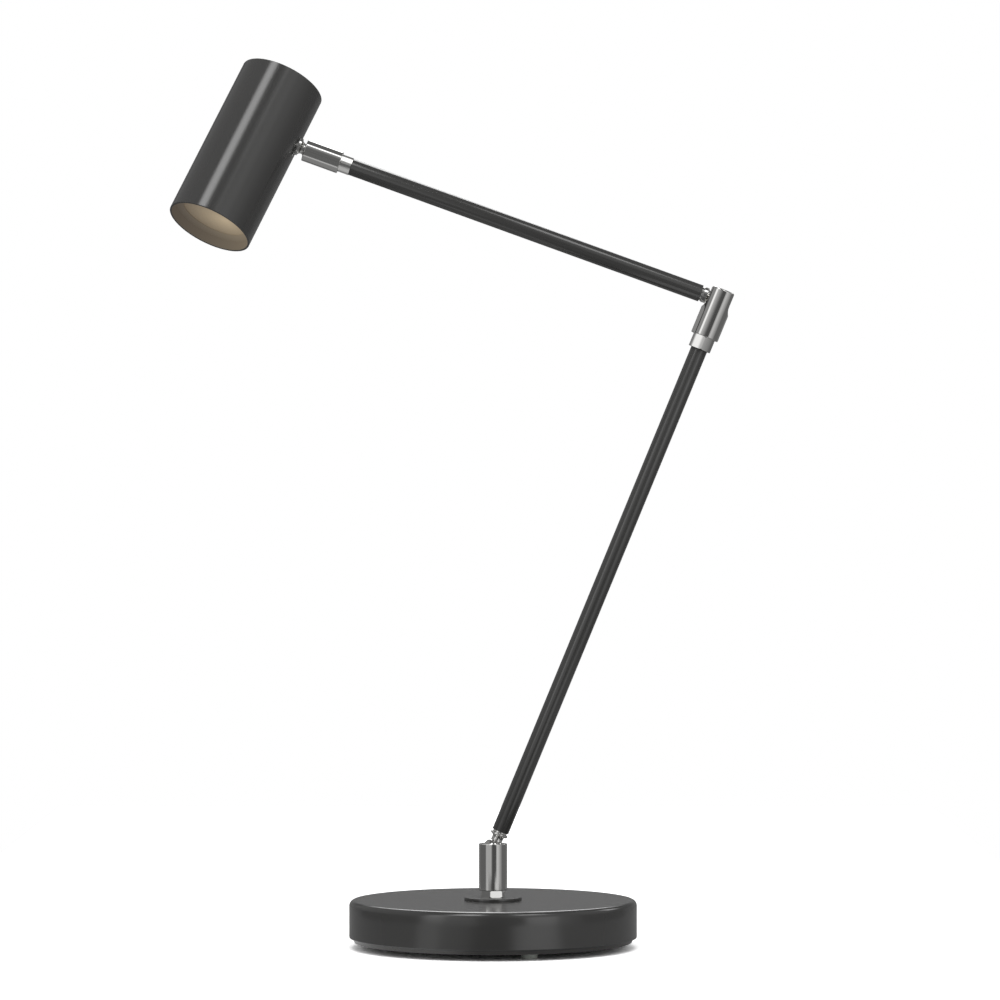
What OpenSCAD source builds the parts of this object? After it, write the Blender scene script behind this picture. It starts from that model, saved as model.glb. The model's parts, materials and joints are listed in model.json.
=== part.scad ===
// Table lamp with a round weighted base, two tube arms and a small cylindrical head.
// Three chromed ball joints carry it: one on the base, one at the elbow and one at the head.
// Millimetres, +Z up. The origin is the middle of the base on the table, and both arms
// lie in the plane Y = 0, with the elbow out along +X and the front of the lamp towards -Y.

/* [Base] */
// Diameter of the base cap
base_d = 170; // [140:1:210]
// Height of the cap, from its lower edge to its top
cap_h = 22.2; // [20:0.2:34]
// Wall of the cap
cap_wall = 2; // [1:0.2:3]
// Radius of the cap's upper edge
cap_round = 3.2; // [3:0.2:8]
// How far the top of the bottom plate stands in from the cap's edge
plate_inset = 2.3; // [2.1:0.1:8]
// How far the bottom plate's edge tapers in towards the table
plate_taper = 0.6; // [0:0.1:2]
// Thickness of the bottom plate
plate_t = 2.5; // [2.2:0.1:4]
// Height of a foot
foot_h = 3.7; // [2:0.1:6]
// Diameter of a foot where it is stuck to the plate
foot_d = 11; // [9:0.2:16]
// Diameter of a foot on the table
foot_low_d = 8.3; // [6:0.1:9]
// Distance from the edge of the bottom plate to the edge of a foot
foot_inset = 7.5; // [2:0.5:12]
// Turn of the first foot from the front towards +X, in degrees
foot_turn = 17.6; // [14:0.2:46]

/* [Base fastening] */
// Diameter of the round trim washer on the base
washer_d = 34; // [26:0.5:50]
// Thickness of the trim washer
washer_t = 1.6; // [1:0.1:4]
// Outer diameter of the threaded tube that holds the base together
nipple_d = 9.8; // [8:0.2:10]
// Bore of the threaded tube, for the lead
nipple_bore = 7; // [4:0.2:7.4]
// Diameter of the recess under the ballast, for the nut and the terminal block
recess_d = 56; // [50:1:70]
// Width of the lead's channel under the ballast
channel_w = 9; // [7:0.5:12]
// Height of the lead inlet above the cap's lower edge
inlet_z = 6.5; // [6:0.1:8]

/* [Large ball joints] */
// Diameter of the balls at the base and the elbow
ball_d = 12.5; // [11.5:0.1:13.2]
// Outer diameter of their sockets
socket_d = 16.8; // [16.4:0.1:20]
// Height of the base socket's rim above the ball's centre
base_rim = 3.3; // [2.8:0.1:4]
// Length of the base socket below the ball's centre
base_socket_depth = 24.3; // [22:0.1:34]
// Height of the elbow socket's flat top above the ball's centre
elbow_rim = 6.6; // [6:0.1:7.2]
// Length of the elbow socket below the ball's centre
elbow_socket_depth = 23.4; // [22:0.1:34]
// Depth of the slot across the elbow socket, below the ball's centre
slot_depth = 7; // [6.4:0.1:8]
// Width across the flats of the hexagon nuts
hex_af = 13; // [12.4:0.1:16]
// Height of the base nut
base_hex_h = 4; // [3:0.1:8]
// Height of the elbow nut's hexagon
elbow_hex_h = 7.8; // [6:0.1:12]
// Turn of the base nut, in degrees
base_hex_turn = 17; // [0:1:60]
// Turn of the elbow nut, in degrees
elbow_hex_turn = 35; // [0:1:60]

/* [Ball studs] */
// Diameter of the neck above a large ball
neck_d = 7.2; // [5.8:0.1:7.4]
// Distance from the ball's centre to the lower stud's thin flange
flange_from = 8.75; // [8.2:0.05:12]
// Thickness of the lower stud's flange
flange_t = 1.5; // [1:0.1:3]
// Diameter of the lower stud's flange
flange_d = 10.4; // [9.6:0.1:12]
// Distance from the ball's centre to the upper stud's collar
collar_from = 7.55; // [7.55:0.05:10]
// Length of the upper stud's collar
collar_t = 3.05; // [2:0.05:6]
// Diameter of the upper stud's collar
collar_d = 9.3; // [8.8:0.1:9.6]
// Diameter of the groove between a stud's flange and its tube
groove_d = 8.4; // [8.4:0.1:9]
// Width of that groove
groove_w = 1.1; // [0.5:0.1:2]
// Bore of a large stud, for the lead
stud_bore = 3; // [2:0.1:3.6]
// Diameter of the shank that turns in a large ball
shank_d = 5.2; // [4.8:0.1:5.4]

/* [Arms] */
// Distance from the base ball to the elbow ball
lower_len = 350.5; // [200:0.5:500]
// Distance from the elbow ball to the head ball
upper_len = 257; // [150:0.5:400]
// Outer diameter of both tubes
tube_d = 10; // [9.8:0.1:10.2]
// Wall of both tubes
tube_wall = 0.9; // [0.8:0.05:1.2]
// Lean of the lower arm from upright towards +X, in degrees
lean = 22.4; // [0:0.05:30]
// Rise of the upper arm above level, in degrees
rise = 19.9; // [18:0.05:80]

/* [Head joint] */
// Diameter of the ball at the head
head_ball_d = 10; // [9.2:0.1:10.4]
// Outer diameter of its socket
head_socket_d = 13; // [12.8:0.1:15]
// Distance from the ball's centre to the socket's rim
head_rim = 3.15; // [2.8:0.05:3.6]
// Length of the socket behind the ball's centre
head_socket_depth = 19.1; // [18:0.1:28]
// Width across the flats of the head socket's nut
head_hex_af = 10.4; // [10.2:0.1:12]
// Height of that nut
head_hex_h = 6.7; // [5:0.1:10]
// Turn of that nut, in degrees
head_hex_turn = 30; // [0:1:60]
// Diameter of the neck above the ball
head_neck_d = 6.4; // [5.6:0.1:6.6]
// Diameter of the trumpet where it meets the head
trumpet_d = 10.6; // [9:0.1:14]
// Diameter of the shank that turns in the head ball
head_shank_d = 4.2; // [3.8:0.1:4.4]
// Bore of the head stud, for the lead
head_stud_bore = 2.4; // [1.6:0.1:2.8]
// Angle of the head stud above the upper arm, in degrees
head_tilt = 5.5; // [-10:0.1:14]
// Turn of the head about its stud, with the mouth towards the front, in degrees
head_turn = 21.2; // [-60:0.1:60]

/* [Head] */
// Outer diameter of the head
head_d = 51.2; // [48:0.1:70]
// Length of the head
head_len = 102.8; // [98:0.2:140]
// Wall of the head
head_wall = 1.2; // [0.8:0.1:2]
// Distance from the back of the head to its stud
stud_from_back = 32.2; // [24:0.1:36]
// Gap between the head ball's centre and the side of the head
head_standoff = 7.15; // [7.1:0.01:10]
// Depth of the lens below the rim of the mouth
lens_recess = 8; // [5:0.5:12]
// Thickness of the lens
lens_t = 2.5; // [1.5:0.1:4]
// Width of the black ring in front of the lens
ring_w = 4.2; // [2:0.1:6]
// Length of the reflector
reflector_len = 14; // [10:0.5:18]
// Length of the heat sink's fins
fin_len = 24; // [12:1:26]
// Number of fins
fin_count = 18; // [10:1:24]

/* [Hidden] */
$fn = 96;

// Clearances: a turning or sliding fit, a ball in its socket, and pieces pressed or screwed
fit_gap = 0.05;
ball_gap = 0.2;
press_gap = 0.02;
// Overshoot of every cut, so that no thin skin is left
over = 1;

// Heights above the table
plate_z = foot_h;
cap_z = plate_z + plate_t;
cap_top_z = cap_z + cap_h;
washer_z = cap_top_z;
nut_z = washer_z + washer_t;
socket_z = nut_z + base_hex_h;
ball_z = socket_z + base_socket_depth;

// Base
base_r = base_d / 2;
plate_r = base_r - plate_inset;
foot_circle_r = plate_r - foot_inset - foot_d / 2;
foot_count = 3;
ballast_gap = 0.5;
ballast_r = base_r - cap_wall - ballast_gap;
ballast_top_z = cap_top_z - cap_wall;
recess_r = recess_d / 2;
ballast_roof = 10;
recess_top_z = ballast_top_z - ballast_roof;
rim_round = 0.5;
screw_circle_r = foot_circle_r - foot_d;
screw_r = 2;
screw_head_r = 4;
screw_len = 12;
screw_slot_w = 0.8;
screw_slot_depth = 1;
nipple_r = nipple_d / 2;
lock_washer_t = 1.2;
lock_washer_r = 9;
under_nut_h = 4.5;
under_nut_af = 14;
// The threaded tube ends this far outside the under-nut and inside the base nut
thread_end = 0.8;
nipple_bottom_z = recess_top_z - lock_washer_t - under_nut_h - thread_end;
nut_spigot = 6;
nipple_top_z = socket_z + nut_spigot - thread_end;
// Trim washer: how far its flat land stands out from the nut, and the heights of its cone's
// foot and of its rim as shares of its thickness
washer_land_w = 2;
washer_cone_share = 0.75;
washer_rim_share = 0.45;
washer_rim_w = 1.2;
inlet_r = 4;
inlet_flange_r = 5.6;
inlet_bore_r = 2.6;
inlet_flange_t = 1.6;
inlet_corner = 0.6;
// The grommet's flanges stand this far off the cap's wall, and its flat inner flange also
// clears the bow of the round wall behind it
inlet_slack = 0.15;
inlet_bow = base_r - cap_wall - sqrt(pow(base_r - cap_wall, 2) - pow(inlet_flange_r, 2));
channel_h = inlet_z + inlet_flange_r + ballast_gap;
block_w = 17;
block_d = 9;
block_h = 7;
block_gap = 4;
block_y = recess_r - block_d - block_gap;
wire_hole_r = 1.6;
wire_z = 3.2;
pole_screw_r = 1.5;
pole_screw_shares = [0.25, 0.75];
pole_gap_w = 0.6;
pole_gap_depth = 1.5;
clamp_y = (recess_r + ballast_r) / 2;
clamp_w = 22;
clamp_d = 7;
clamp_t = 2.5;
clamp_screw_r = 1.4;
clamp_screw_x = 7.5;
clamp_screw_len = 9;
clamp_head_r = 2.8;
clamp_head_h = 1;

// Large ball joints
ball_r = ball_d / 2;
cavity_r = ball_r + ball_gap;
socket_r = socket_d / 2;
seat_top = -3;
seat_h = 7.5;
seat_bottom = seat_top - seat_h;
// The elbow's seat is cut lower, clear of the neck when the arm lies square to the socket
seat_clearance = 1;
elbow_seat_top = -neck_d / 2 - seat_clearance;
base_flare_h = 0.9;
base_flare = 0.7;
slot_gap = 0.2;
slot_w = collar_d + 2 * slot_gap;
lead_r = 2.2;
disc_t = 0.8;
disc_count = 6;
disc_bore_r = lead_r + 1;
nut_bore_r = lead_r + 1;
edge = 0.4;
hex_corner = 0.6;
top_round = 1;
tube_r = tube_d / 2;
tube_bore_r = tube_r - tube_wall;
spigot_r = tube_bore_r - fit_gap;
spigot_len = 12;
tube_socket = 5;
lower_tube_from = flange_from + flange_t + groove_w;
upper_tube_from = collar_from + collar_t + groove_w;
lower_tube_len = lower_len - elbow_socket_depth - elbow_hex_h + tube_socket - lower_tube_from;

// Ball: its flat top meets the neck, and its flat foot has a pocket for the clip. The foot's
// height, the pocket's radius and the clip's opening are shares of the ball and the shank.
foot_share = 0.8;
pocket_share = 0.56;
clip_opening_share = 1.2;
pocket_depth = 1.4;
clip_t = 0.9;
clip_bite = 0.3;
clip_rim_gap = 0.4;
clip_play = 0.1;
neck_play = 0.1;
flange_flare = 0.55;

// Head joint
head_ball_r = head_ball_d / 2;
head_cavity_r = head_ball_r + ball_gap;
head_socket_r = head_socket_d / 2;
head_spigot = 5;
head_disc_count = 5;
head_disc_bore_r = lead_r + 0.6;
head_seat_top = -2.4;
head_seat_h = 5.5;
head_seat_bottom = head_seat_top - head_seat_h;
// Trumpet: height of its rim, how far it reaches past the nearest line of the head's side
// before it is cut to that side, and the steps of its curve in degrees
trumpet_rim_h = 0.8;
trumpet_into = 1.2;
trumpet_step = 15;
head_flare_h = 1.15;
head_flare = 1.1;
upper_tube_len = upper_len - head_socket_depth - head_hex_h - upper_tube_from;

// Head
head_r = head_d / 2;
head_bore_r = head_r - head_wall;
axis_offset = head_r + head_standoff;
mouth_z = head_len - stud_from_back;
lens_z = mouth_z - lens_recess;
lens_r = head_bore_r - fit_gap;
reflector_z = lens_z - lens_t - reflector_len;
board_t = 1.6;
board_r = 15;
chip_r = 7;
chip_t = 1;
sink_plate_t = 5;
sink_z = reflector_z - board_t - sink_plate_t;
sink_core_r = 9;
fin_t = 1.4;
stem_r = 3;
stem_len = 8;
stud_washer_r = 6.5;
stud_washer_t = 1.6;
stud_nut_af = 10;
stud_nut_h = 4;
cap_disc_t = 2;
cap_skirt = 6;
cap_skirt_t = 1.2;
shell_corner = 0.3;
stud_nut_corner = 0.5;
board_screw_r = 1.2;
board_screw_x = 11.5;
board_screw_head_r = 2.4;
board_screw_head_h = 1.2;
sink_gap = 1;
reflector_t = 0.8;
reflector_flange_t = 1.5;
reflector_screw_gap = 0.3;
reflector_ring_gap = 0.5;
ring_h = 2;
ring_lip_h = 0.6;
ring_edge_w = 0.8;

chrome = [0.78, 0.79, 0.80];
black_paint = [0.09, 0.09, 0.095];
steel = [0.62, 0.63, 0.64];
cast_iron = [0.30, 0.30, 0.31];
acetal = [0.88, 0.87, 0.83];
brass = [0.80, 0.66, 0.36];

// Frames of the moving pieces. Each puts its children where a ball's centre is, with +Z
// along the arm or stud that the ball carries.
module at_base_ball() translate([0, 0, ball_z]) children();
module along_lower_arm() at_base_ball() rotate([0, lean, 0]) children();
module at_elbow_socket() along_lower_arm() translate([0, 0, lower_len]) children();
module along_upper_arm() at_elbow_socket() rotate([0, rise - 90 - lean, 0]) children();
module at_head_socket() along_upper_arm() translate([0, 0, upper_len]) children();
module along_head_stud() at_head_socket() rotate([0, head_tilt, 0]) children();
// +Z runs down the head's axis to its mouth, and the stud comes in along -X at Z = 0
module in_head() {
  along_head_stud()
    translate([0, 0, axis_offset])
      rotate([0, 0, head_turn])
        rotate([0, -90, 0])
          children();
}

// What a rounded outer corner loses, with the corner's point at the origin
module corner_cut(r) {
  translate([-r, -r])
    difference() {
      square(r + over);
      circle(r);
    }
}

// A ring with square edges, from z = 0 up
module ring(r_out, r_in, h) {
  difference() {
    cylinder(r = r_out, h = h);
    translate([0, 0, -over])
      cylinder(r = r_in, h = h + 2 * over);
  }
}

// A hexagon with turned corners, from z = 0 up
module hexagon(af, h, corner) {
  r = af / 2 / cos(30);
  intersection() {
    cylinder(r = r, h = h, $fn = 6);
    rotate_extrude()
      polygon([
        [0, 0], [r - corner, 0], [r, corner],
        [r, h - corner], [r - corner, h], [0, h]
      ]);
  }
}

// Shell of a ball's socket: a turned sleeve with a spherical seat that keeps the ball in
module socket_shell(r_out, cavity, depth, rim, rounding) {
  difference() {
    rotate_extrude()
      difference() {
        translate([0, -depth])
          square([r_out, depth + rim]);
        translate([r_out, rim])
          corner_cut(rounding);
        translate([r_out, -depth])
          mirror([0, 1])
            corner_cut(edge);
      }
    sphere(r = cavity);
    translate([0, 0, -depth - over])
      cylinder(r = cavity, h = depth + over);
  }
}

// Cone that opens a socket's rim, so that the neck can lean over
module rim_flare(cavity, rim, h, flare) {
  from = rim - h;
  r = sqrt(cavity * cavity - from * from);
  translate([0, 0, from])
    cylinder(r1 = r, r2 = r + flare * (h + over) / h, h = h + over);
}

// Cup that the ball rubs on, with a hole for the lead
module friction_seat(ball_radius, cavity, bottom, top) {
  difference() {
    translate([0, 0, bottom])
      cylinder(r = cavity - fit_gap, h = top - bottom);
    sphere(r = ball_radius + fit_gap);
    translate([0, 0, bottom - over])
      cylinder(r = lead_r, h = top - bottom);
  }
}

// Cupped spring washers, stacked in turn, from z = 0 up to the given height
module disc_springs(r_out, r_in, count, h) {
  pitch = h / count;
  cup = pitch - disc_t - press_gap;
  for (i = [0 : count - 1]) {
    low = i % 2 == 0 ? cup : 0;
    high = cup - low;
    translate([0, 0, i * pitch + press_gap / 2])
      rotate_extrude()
        polygon([
          [r_in, low], [r_out, high],
          [r_out, high + disc_t], [r_in, low + disc_t]
        ]);
  }
}

// Ball with a flat top under the neck, a bore for the shank and a pocket for the clip
module bored_ball(r, neck_r, shank_r) {
  top = sqrt(r * r - neck_r * neck_r);
  foot = -foot_share * r;
  difference() {
    sphere(r = r);
    translate([-r, -r, top])
      cube([2 * r, 2 * r, r]);
    translate([-r, -r, foot - r])
      cube([2 * r, 2 * r, r]);
    translate([0, 0, -r - over])
      cylinder(r = shank_r + fit_gap, h = 2 * (r + over));
    translate([0, 0, foot - over])
      cylinder(r = pocket_share * r, h = pocket_depth + over);
  }
}

// Shank of a stud: from the ball's foot up to the neck, with the clip's groove
module shank(r, neck_r, shank_r, bore_r) {
  foot = -foot_share * r;
  top = sqrt(r * r - neck_r * neck_r) + neck_play;
  difference() {
    translate([0, 0, foot])
      ring(shank_r, bore_r, top - foot + over);
    translate([0, 0, foot + pocket_depth - clip_play - clip_t - fit_gap])
      ring(shank_r + over, shank_r - clip_bite - fit_gap, clip_t + 2 * fit_gap);
  }
}

// Open spring clip that holds the shank in the ball
module shank_clip(r, shank_r) {
  z = pocket_depth - foot_share * r - clip_play - clip_t;
  opening = clip_opening_share * shank_r;
  difference() {
    translate([0, 0, z])
      ring(pocket_share * r - clip_rim_gap, shank_r - clip_bite, clip_t);
    translate([0, -opening / 2, z - over])
      cube([r, opening, clip_t + 2 * over]);
  }
}

// Stud of an arm: neck, collar, groove and the spigot inside the tube
module arm_stud(from, t, d, flare) {
  neck_r = neck_d / 2;
  neck_z = sqrt(ball_r * ball_r - neck_r * neck_r) + neck_play;
  bore_r = stud_bore / 2;
  to = from + t;
  shank(ball_r, neck_r, shank_d / 2, bore_r);
  rotate_extrude()
    polygon([
      [bore_r, neck_z], [neck_r, neck_z], [neck_r, from - flare],
      [d / 2 - edge, from], [d / 2, from + edge],
      [d / 2, to - edge], [d / 2 - edge, to],
      [groove_d / 2, to], [groove_d / 2, to + groove_w],
      [spigot_r, to + groove_w], [spigot_r, to + groove_w + spigot_len],
      [bore_r, to + groove_w + spigot_len]
    ]);
}

// Tube of an arm, from z = 0 up
module arm_tube(len) ring(tube_r, tube_bore_r, len);

// Nut below a socket: a hexagon, a plug that closes the socket's bore and, where it has a
// length, a tail into the tube. z = 0 is the face between the hexagon and the socket.
module socket_nut(af, hex_h, turn, plug_r, plug_h, bore_r, tail_r = 0, tail_h = 0) {
  difference() {
    union() {
      translate([0, 0, -hex_h])
        rotate([0, 0, turn])
          hexagon(af, hex_h, hex_corner);
      translate([0, 0, -over])
        cylinder(r = plug_r, h = over + plug_h);
      if (tail_h > 0)
        translate([0, 0, -hex_h - tail_h])
          cylinder(r = tail_r, h = tail_h + over);
    }
    translate([0, 0, -hex_h - tail_h - over])
      cylinder(r = bore_r, h = tail_h + hex_h + plug_h + 2 * over);
  }
}

// Base

module foot(index) {
  color([0.72, 0.75, 0.70])
    rotate([0, 0, foot_turn - 90 + index * 360 / foot_count])
      translate([foot_circle_r, 0, 0])
        cylinder(d1 = foot_low_d, d2 = foot_d, h = foot_h);
}

module on_screw_circle() {
  for (i = [0 : foot_count - 1])
    rotate([0, 0, foot_turn - 30 + i * 360 / foot_count])
      translate([screw_circle_r, 0, 0])
        children();
}

module countersunk(r, head_r, len) {
  cylinder(r1 = head_r, r2 = r, h = head_r - r);
  cylinder(r = r, h = len);
}

module bottom_plate() {
  color(black_paint)
    difference() {
      translate([0, 0, plate_z])
        rotate_extrude()
          polygon([
            [0, 0], [plate_r - plate_taper, 0], [plate_r, plate_t], [0, plate_t]
          ]);
      on_screw_circle()
        translate([0, 0, plate_z - over])
          cylinder(r = screw_r + fit_gap, h = plate_t + 2 * over);
      on_screw_circle()
        translate([0, 0, plate_z])
          cylinder(r1 = screw_head_r, r2 = screw_r, h = screw_head_r - screw_r);
    }
}

module plate_screws() {
  color(steel)
    on_screw_circle()
      translate([0, 0, plate_z + press_gap])
        difference() {
          countersunk(screw_r, screw_head_r - 2 * press_gap, screw_len);
          translate([-screw_head_r, -screw_slot_w / 2, -over])
            cube([2 * screw_head_r, screw_slot_w, over + screw_slot_depth]);
        }
}

module ballast_weight() {
  color(cast_iron)
    difference() {
      rotate_extrude()
        difference() {
          translate([0, cap_z])
            square([ballast_r, ballast_top_z - cap_z]);
          translate([ballast_r, ballast_top_z])
            corner_cut(cap_round);
        }
      cylinder(r = nipple_r + ball_gap, h = cap_top_z);
      translate([0, 0, cap_z - over])
        cylinder(r = recess_r, h = recess_top_z - cap_z + over);
      translate([-channel_w / 2, 0, cap_z - over])
        cube([channel_w, base_r, channel_h + over]);
      translate([0, base_r, cap_z + inlet_z])
        rotate([90, 0, 0])
          cylinder(r = inlet_flange_r + ballast_gap, h = cap_wall + 2 * inlet_flange_t);
      translate([-clamp_w / 2 - fit_gap, clamp_y - clamp_d / 2 - fit_gap, cap_z - over])
        cube([clamp_w + 2 * fit_gap, clamp_d + 2 * fit_gap, clamp_t + over]);
      for (x = [-clamp_screw_x, clamp_screw_x])
        translate([x, clamp_y, cap_z])
          cylinder(r = clamp_screw_r + press_gap, h = clamp_screw_len);
      on_screw_circle()
        translate([0, 0, cap_z - over])
          cylinder(r = screw_r + press_gap, h = screw_len - plate_t + 2 * over);
    }
}

module base_cap() {
  color(black_paint)
    difference() {
      rotate_extrude()
        difference() {
          translate([0, cap_z])
            square([base_r, cap_h]);
          translate([base_r, cap_top_z])
            corner_cut(cap_round);
          translate([base_r, cap_z])
            mirror([0, 1])
              corner_cut(rim_round);
          difference() {
            translate([0, cap_z - over])
              square([base_r - cap_wall, cap_h - cap_wall + over]);
            translate([base_r - cap_wall, cap_top_z - cap_wall])
              corner_cut(cap_round - cap_wall / 2);
          }
        }
      cylinder(r = nipple_r + ball_gap, h = cap_top_z + over);
      translate([0, base_r - 2 * cap_wall, cap_z + inlet_z])
        rotate([-90, 0, 0])
          cylinder(r = inlet_r + fit_gap, h = 4 * cap_wall);
    }
}

// Grommet of the lead inlet at the rear of the cap, with nothing passed through it
module lead_inlet() {
  in = inlet_flange_t - inlet_slack - inlet_bow;
  out = inlet_flange_t + cap_wall + inlet_slack;
  end = 2 * inlet_flange_t + cap_wall;
  color([0.12, 0.12, 0.12])
    translate([0, base_r - cap_wall - inlet_flange_t, cap_z + inlet_z])
      rotate([-90, 0, 0])
        rotate_extrude()
          polygon([
            [inlet_bore_r, 0], [inlet_flange_r - inlet_corner, 0],
            [inlet_flange_r, inlet_corner], [inlet_flange_r, in], [inlet_r, in],
            [inlet_r, out], [inlet_flange_r, out], [inlet_flange_r, out + inlet_corner],
            [inlet_bore_r + inlet_corner, end], [inlet_bore_r, end]
          ]);
}

module terminal_block() {
  pole = block_w / 3;
  color([0.90, 0.90, 0.88])
    translate([-block_w / 2, block_y, cap_z])
      difference() {
        cube([block_w, block_d, block_h]);
        for (i = [0 : 2])
          translate([(i + 0.5) * pole, 0, 0]) {
            translate([0, -over, wire_z])
              rotate([-90, 0, 0])
                cylinder(r = wire_hole_r, h = block_d + 2 * over);
            for (share = pole_screw_shares)
              translate([0, share * block_d, wire_z])
                cylinder(r = pole_screw_r, h = block_h);
          }
        for (i = [1, 2])
          translate([i * pole - pole_gap_w / 2, -over, block_h - pole_gap_depth])
            cube([pole_gap_w, block_d + 2 * over, pole_gap_depth + over]);
      }
}

module lead_clamp() {
  color([0.15, 0.15, 0.15])
    translate([0, clamp_y, cap_z])
      difference() {
        translate([-clamp_w / 2, -clamp_d / 2, 0])
          cube([clamp_w, clamp_d, clamp_t]);
        for (x = [-clamp_screw_x, clamp_screw_x])
          translate([x, 0, -over])
            cylinder(r = clamp_screw_r + fit_gap, h = clamp_t + 2 * over);
        for (x = [-clamp_screw_x, clamp_screw_x])
          translate([x, 0, -over])
            cylinder(r = clamp_head_r + fit_gap, h = clamp_head_h + over);
      }
}

module clamp_screws() {
  color(steel)
    for (x = [-clamp_screw_x, clamp_screw_x])
      translate([x, clamp_y, cap_z + press_gap]) {
        cylinder(r = clamp_head_r, h = clamp_head_h - press_gap);
        cylinder(r = clamp_screw_r, h = clamp_screw_len - clamp_head_h);
      }
}

module threaded_tube() {
  color(brass)
    translate([0, 0, nipple_bottom_z])
      ring(nipple_r, nipple_bore / 2, nipple_top_z - nipple_bottom_z);
}

module under_nut() {
  color(brass)
    translate([0, 0, recess_top_z - lock_washer_t - under_nut_h])
      difference() {
        hexagon(under_nut_af, under_nut_h, hex_corner);
        translate([0, 0, -over])
          cylinder(r = nipple_r + press_gap, h = under_nut_h + 2 * over);
      }
}

module lock_washer() {
  color(steel)
    translate([0, 0, recess_top_z - lock_washer_t])
      ring(lock_washer_r, nipple_r + fit_gap, lock_washer_t);
}

// Trim washer under the base nut, with a shallow cone on top and a rolled edge
module trim_washer() {
  r = washer_d / 2;
  color(chrome)
    translate([0, 0, washer_z])
      rotate_extrude()
        polygon([
          [nipple_r + fit_gap, 0], [r - edge, 0], [r, edge],
          [r, washer_rim_share * washer_t], [r - washer_rim_w, washer_cone_share * washer_t],
          [hex_af / 2 + washer_land_w, washer_t], [nipple_r + fit_gap, washer_t]
        ]);
}

// Base joint

module base_nut() {
  color(chrome)
    translate([0, 0, socket_z])
      socket_nut(
        hex_af, base_hex_h, base_hex_turn, cavity_r - press_gap, nut_spigot,
        nipple_r + press_gap
      );
}

module base_socket() {
  color(chrome)
    at_base_ball()
      difference() {
        socket_shell(socket_r, cavity_r, base_socket_depth, base_rim, edge);
        rim_flare(cavity_r, base_rim, base_flare_h, base_flare);
      }
}

module base_springs() {
  from = nut_spigot - base_socket_depth;
  color(steel)
    at_base_ball()
      translate([0, 0, from])
        disc_springs(cavity_r - ball_gap, disc_bore_r, disc_count, seat_bottom - from);
}

module base_seat() {
  color(acetal)
    at_base_ball()
      friction_seat(ball_r, cavity_r, seat_bottom, seat_top);
}

module base_ball() {
  color(chrome)
    along_lower_arm()
      bored_ball(ball_r, neck_d / 2, shank_d / 2);
}

// Lower arm

module lower_stud() {
  color(chrome)
    along_lower_arm()
      arm_stud(flange_from, flange_t, flange_d, flange_flare);
}

module lower_clip() {
  color(steel)
    along_lower_arm()
      shank_clip(ball_r, shank_d / 2);
}

module lower_tube() {
  color(black_paint)
    along_lower_arm()
      translate([0, 0, lower_tube_from])
        arm_tube(lower_tube_len);
}

module elbow_nut() {
  color(chrome)
    at_elbow_socket()
      translate([0, 0, -elbow_socket_depth])
        difference() {
          socket_nut(
            hex_af, elbow_hex_h, elbow_hex_turn, cavity_r - press_gap, nut_spigot,
            nut_bore_r
          );
          translate([0, 0, -elbow_hex_h - over])
            cylinder(r = tube_r + press_gap, h = tube_socket + over);
        }
}

// Elbow socket: a slot across its flat top leaves two cheeks that hold the ball, and lets
// the neck and its collar swing down to either side
module elbow_socket() {
  slot_z = slot_w / 2 - slot_depth;
  slot_len = 2 * (socket_r + over);
  color(chrome)
    at_elbow_socket()
      difference() {
        socket_shell(socket_r, cavity_r, elbow_socket_depth, elbow_rim, top_round);
        translate([-slot_len / 2, -slot_w / 2, slot_z])
          cube([slot_len, slot_w, elbow_rim - slot_z + over]);
        translate([-slot_len / 2, 0, slot_z])
          rotate([0, 90, 0])
            cylinder(r = slot_w / 2, h = slot_len);
      }
}

module elbow_springs() {
  from = nut_spigot - elbow_socket_depth;
  color(steel)
    at_elbow_socket()
      translate([0, 0, from])
        disc_springs(cavity_r - ball_gap, disc_bore_r, disc_count, seat_bottom - from);
}

module elbow_seat() {
  color(acetal)
    at_elbow_socket()
      friction_seat(ball_r, cavity_r, seat_bottom, elbow_seat_top);
}

// Upper arm

module elbow_ball() {
  color(chrome)
    along_upper_arm()
      bored_ball(ball_r, neck_d / 2, shank_d / 2);
}

module upper_stud() {
  color(chrome)
    along_upper_arm()
      arm_stud(collar_from, collar_t, collar_d, 0);
}

module upper_clip() {
  color(steel)
    along_upper_arm()
      shank_clip(ball_r, shank_d / 2);
}

module upper_tube() {
  color(black_paint)
    along_upper_arm()
      translate([0, 0, upper_tube_from])
        arm_tube(upper_tube_len);
}

module head_nut() {
  color(chrome)
    at_head_socket()
      translate([0, 0, -head_socket_depth])
        socket_nut(
          head_hex_af, head_hex_h, head_hex_turn, head_cavity_r - press_gap, head_spigot,
          lead_r, spigot_r, spigot_len
        );
}

module head_socket() {
  color(chrome)
    at_head_socket()
      difference() {
        socket_shell(head_socket_r, head_cavity_r, head_socket_depth, head_rim, edge);
        rim_flare(head_cavity_r, head_rim, head_flare_h, head_flare);
      }
}

module head_springs() {
  from = head_spigot - head_socket_depth;
  color(steel)
    at_head_socket()
      translate([0, 0, from])
        disc_springs(
          head_cavity_r - ball_gap, head_disc_bore_r, head_disc_count, head_seat_bottom - from
        );
}

module head_seat() {
  color(acetal)
    at_head_socket()
      friction_seat(head_ball_r, head_cavity_r, head_seat_bottom, head_seat_top);
}

// Head

module head_ball() {
  color(chrome)
    along_head_stud()
      bored_ball(head_ball_r, head_neck_d / 2, head_shank_d / 2);
}

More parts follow.
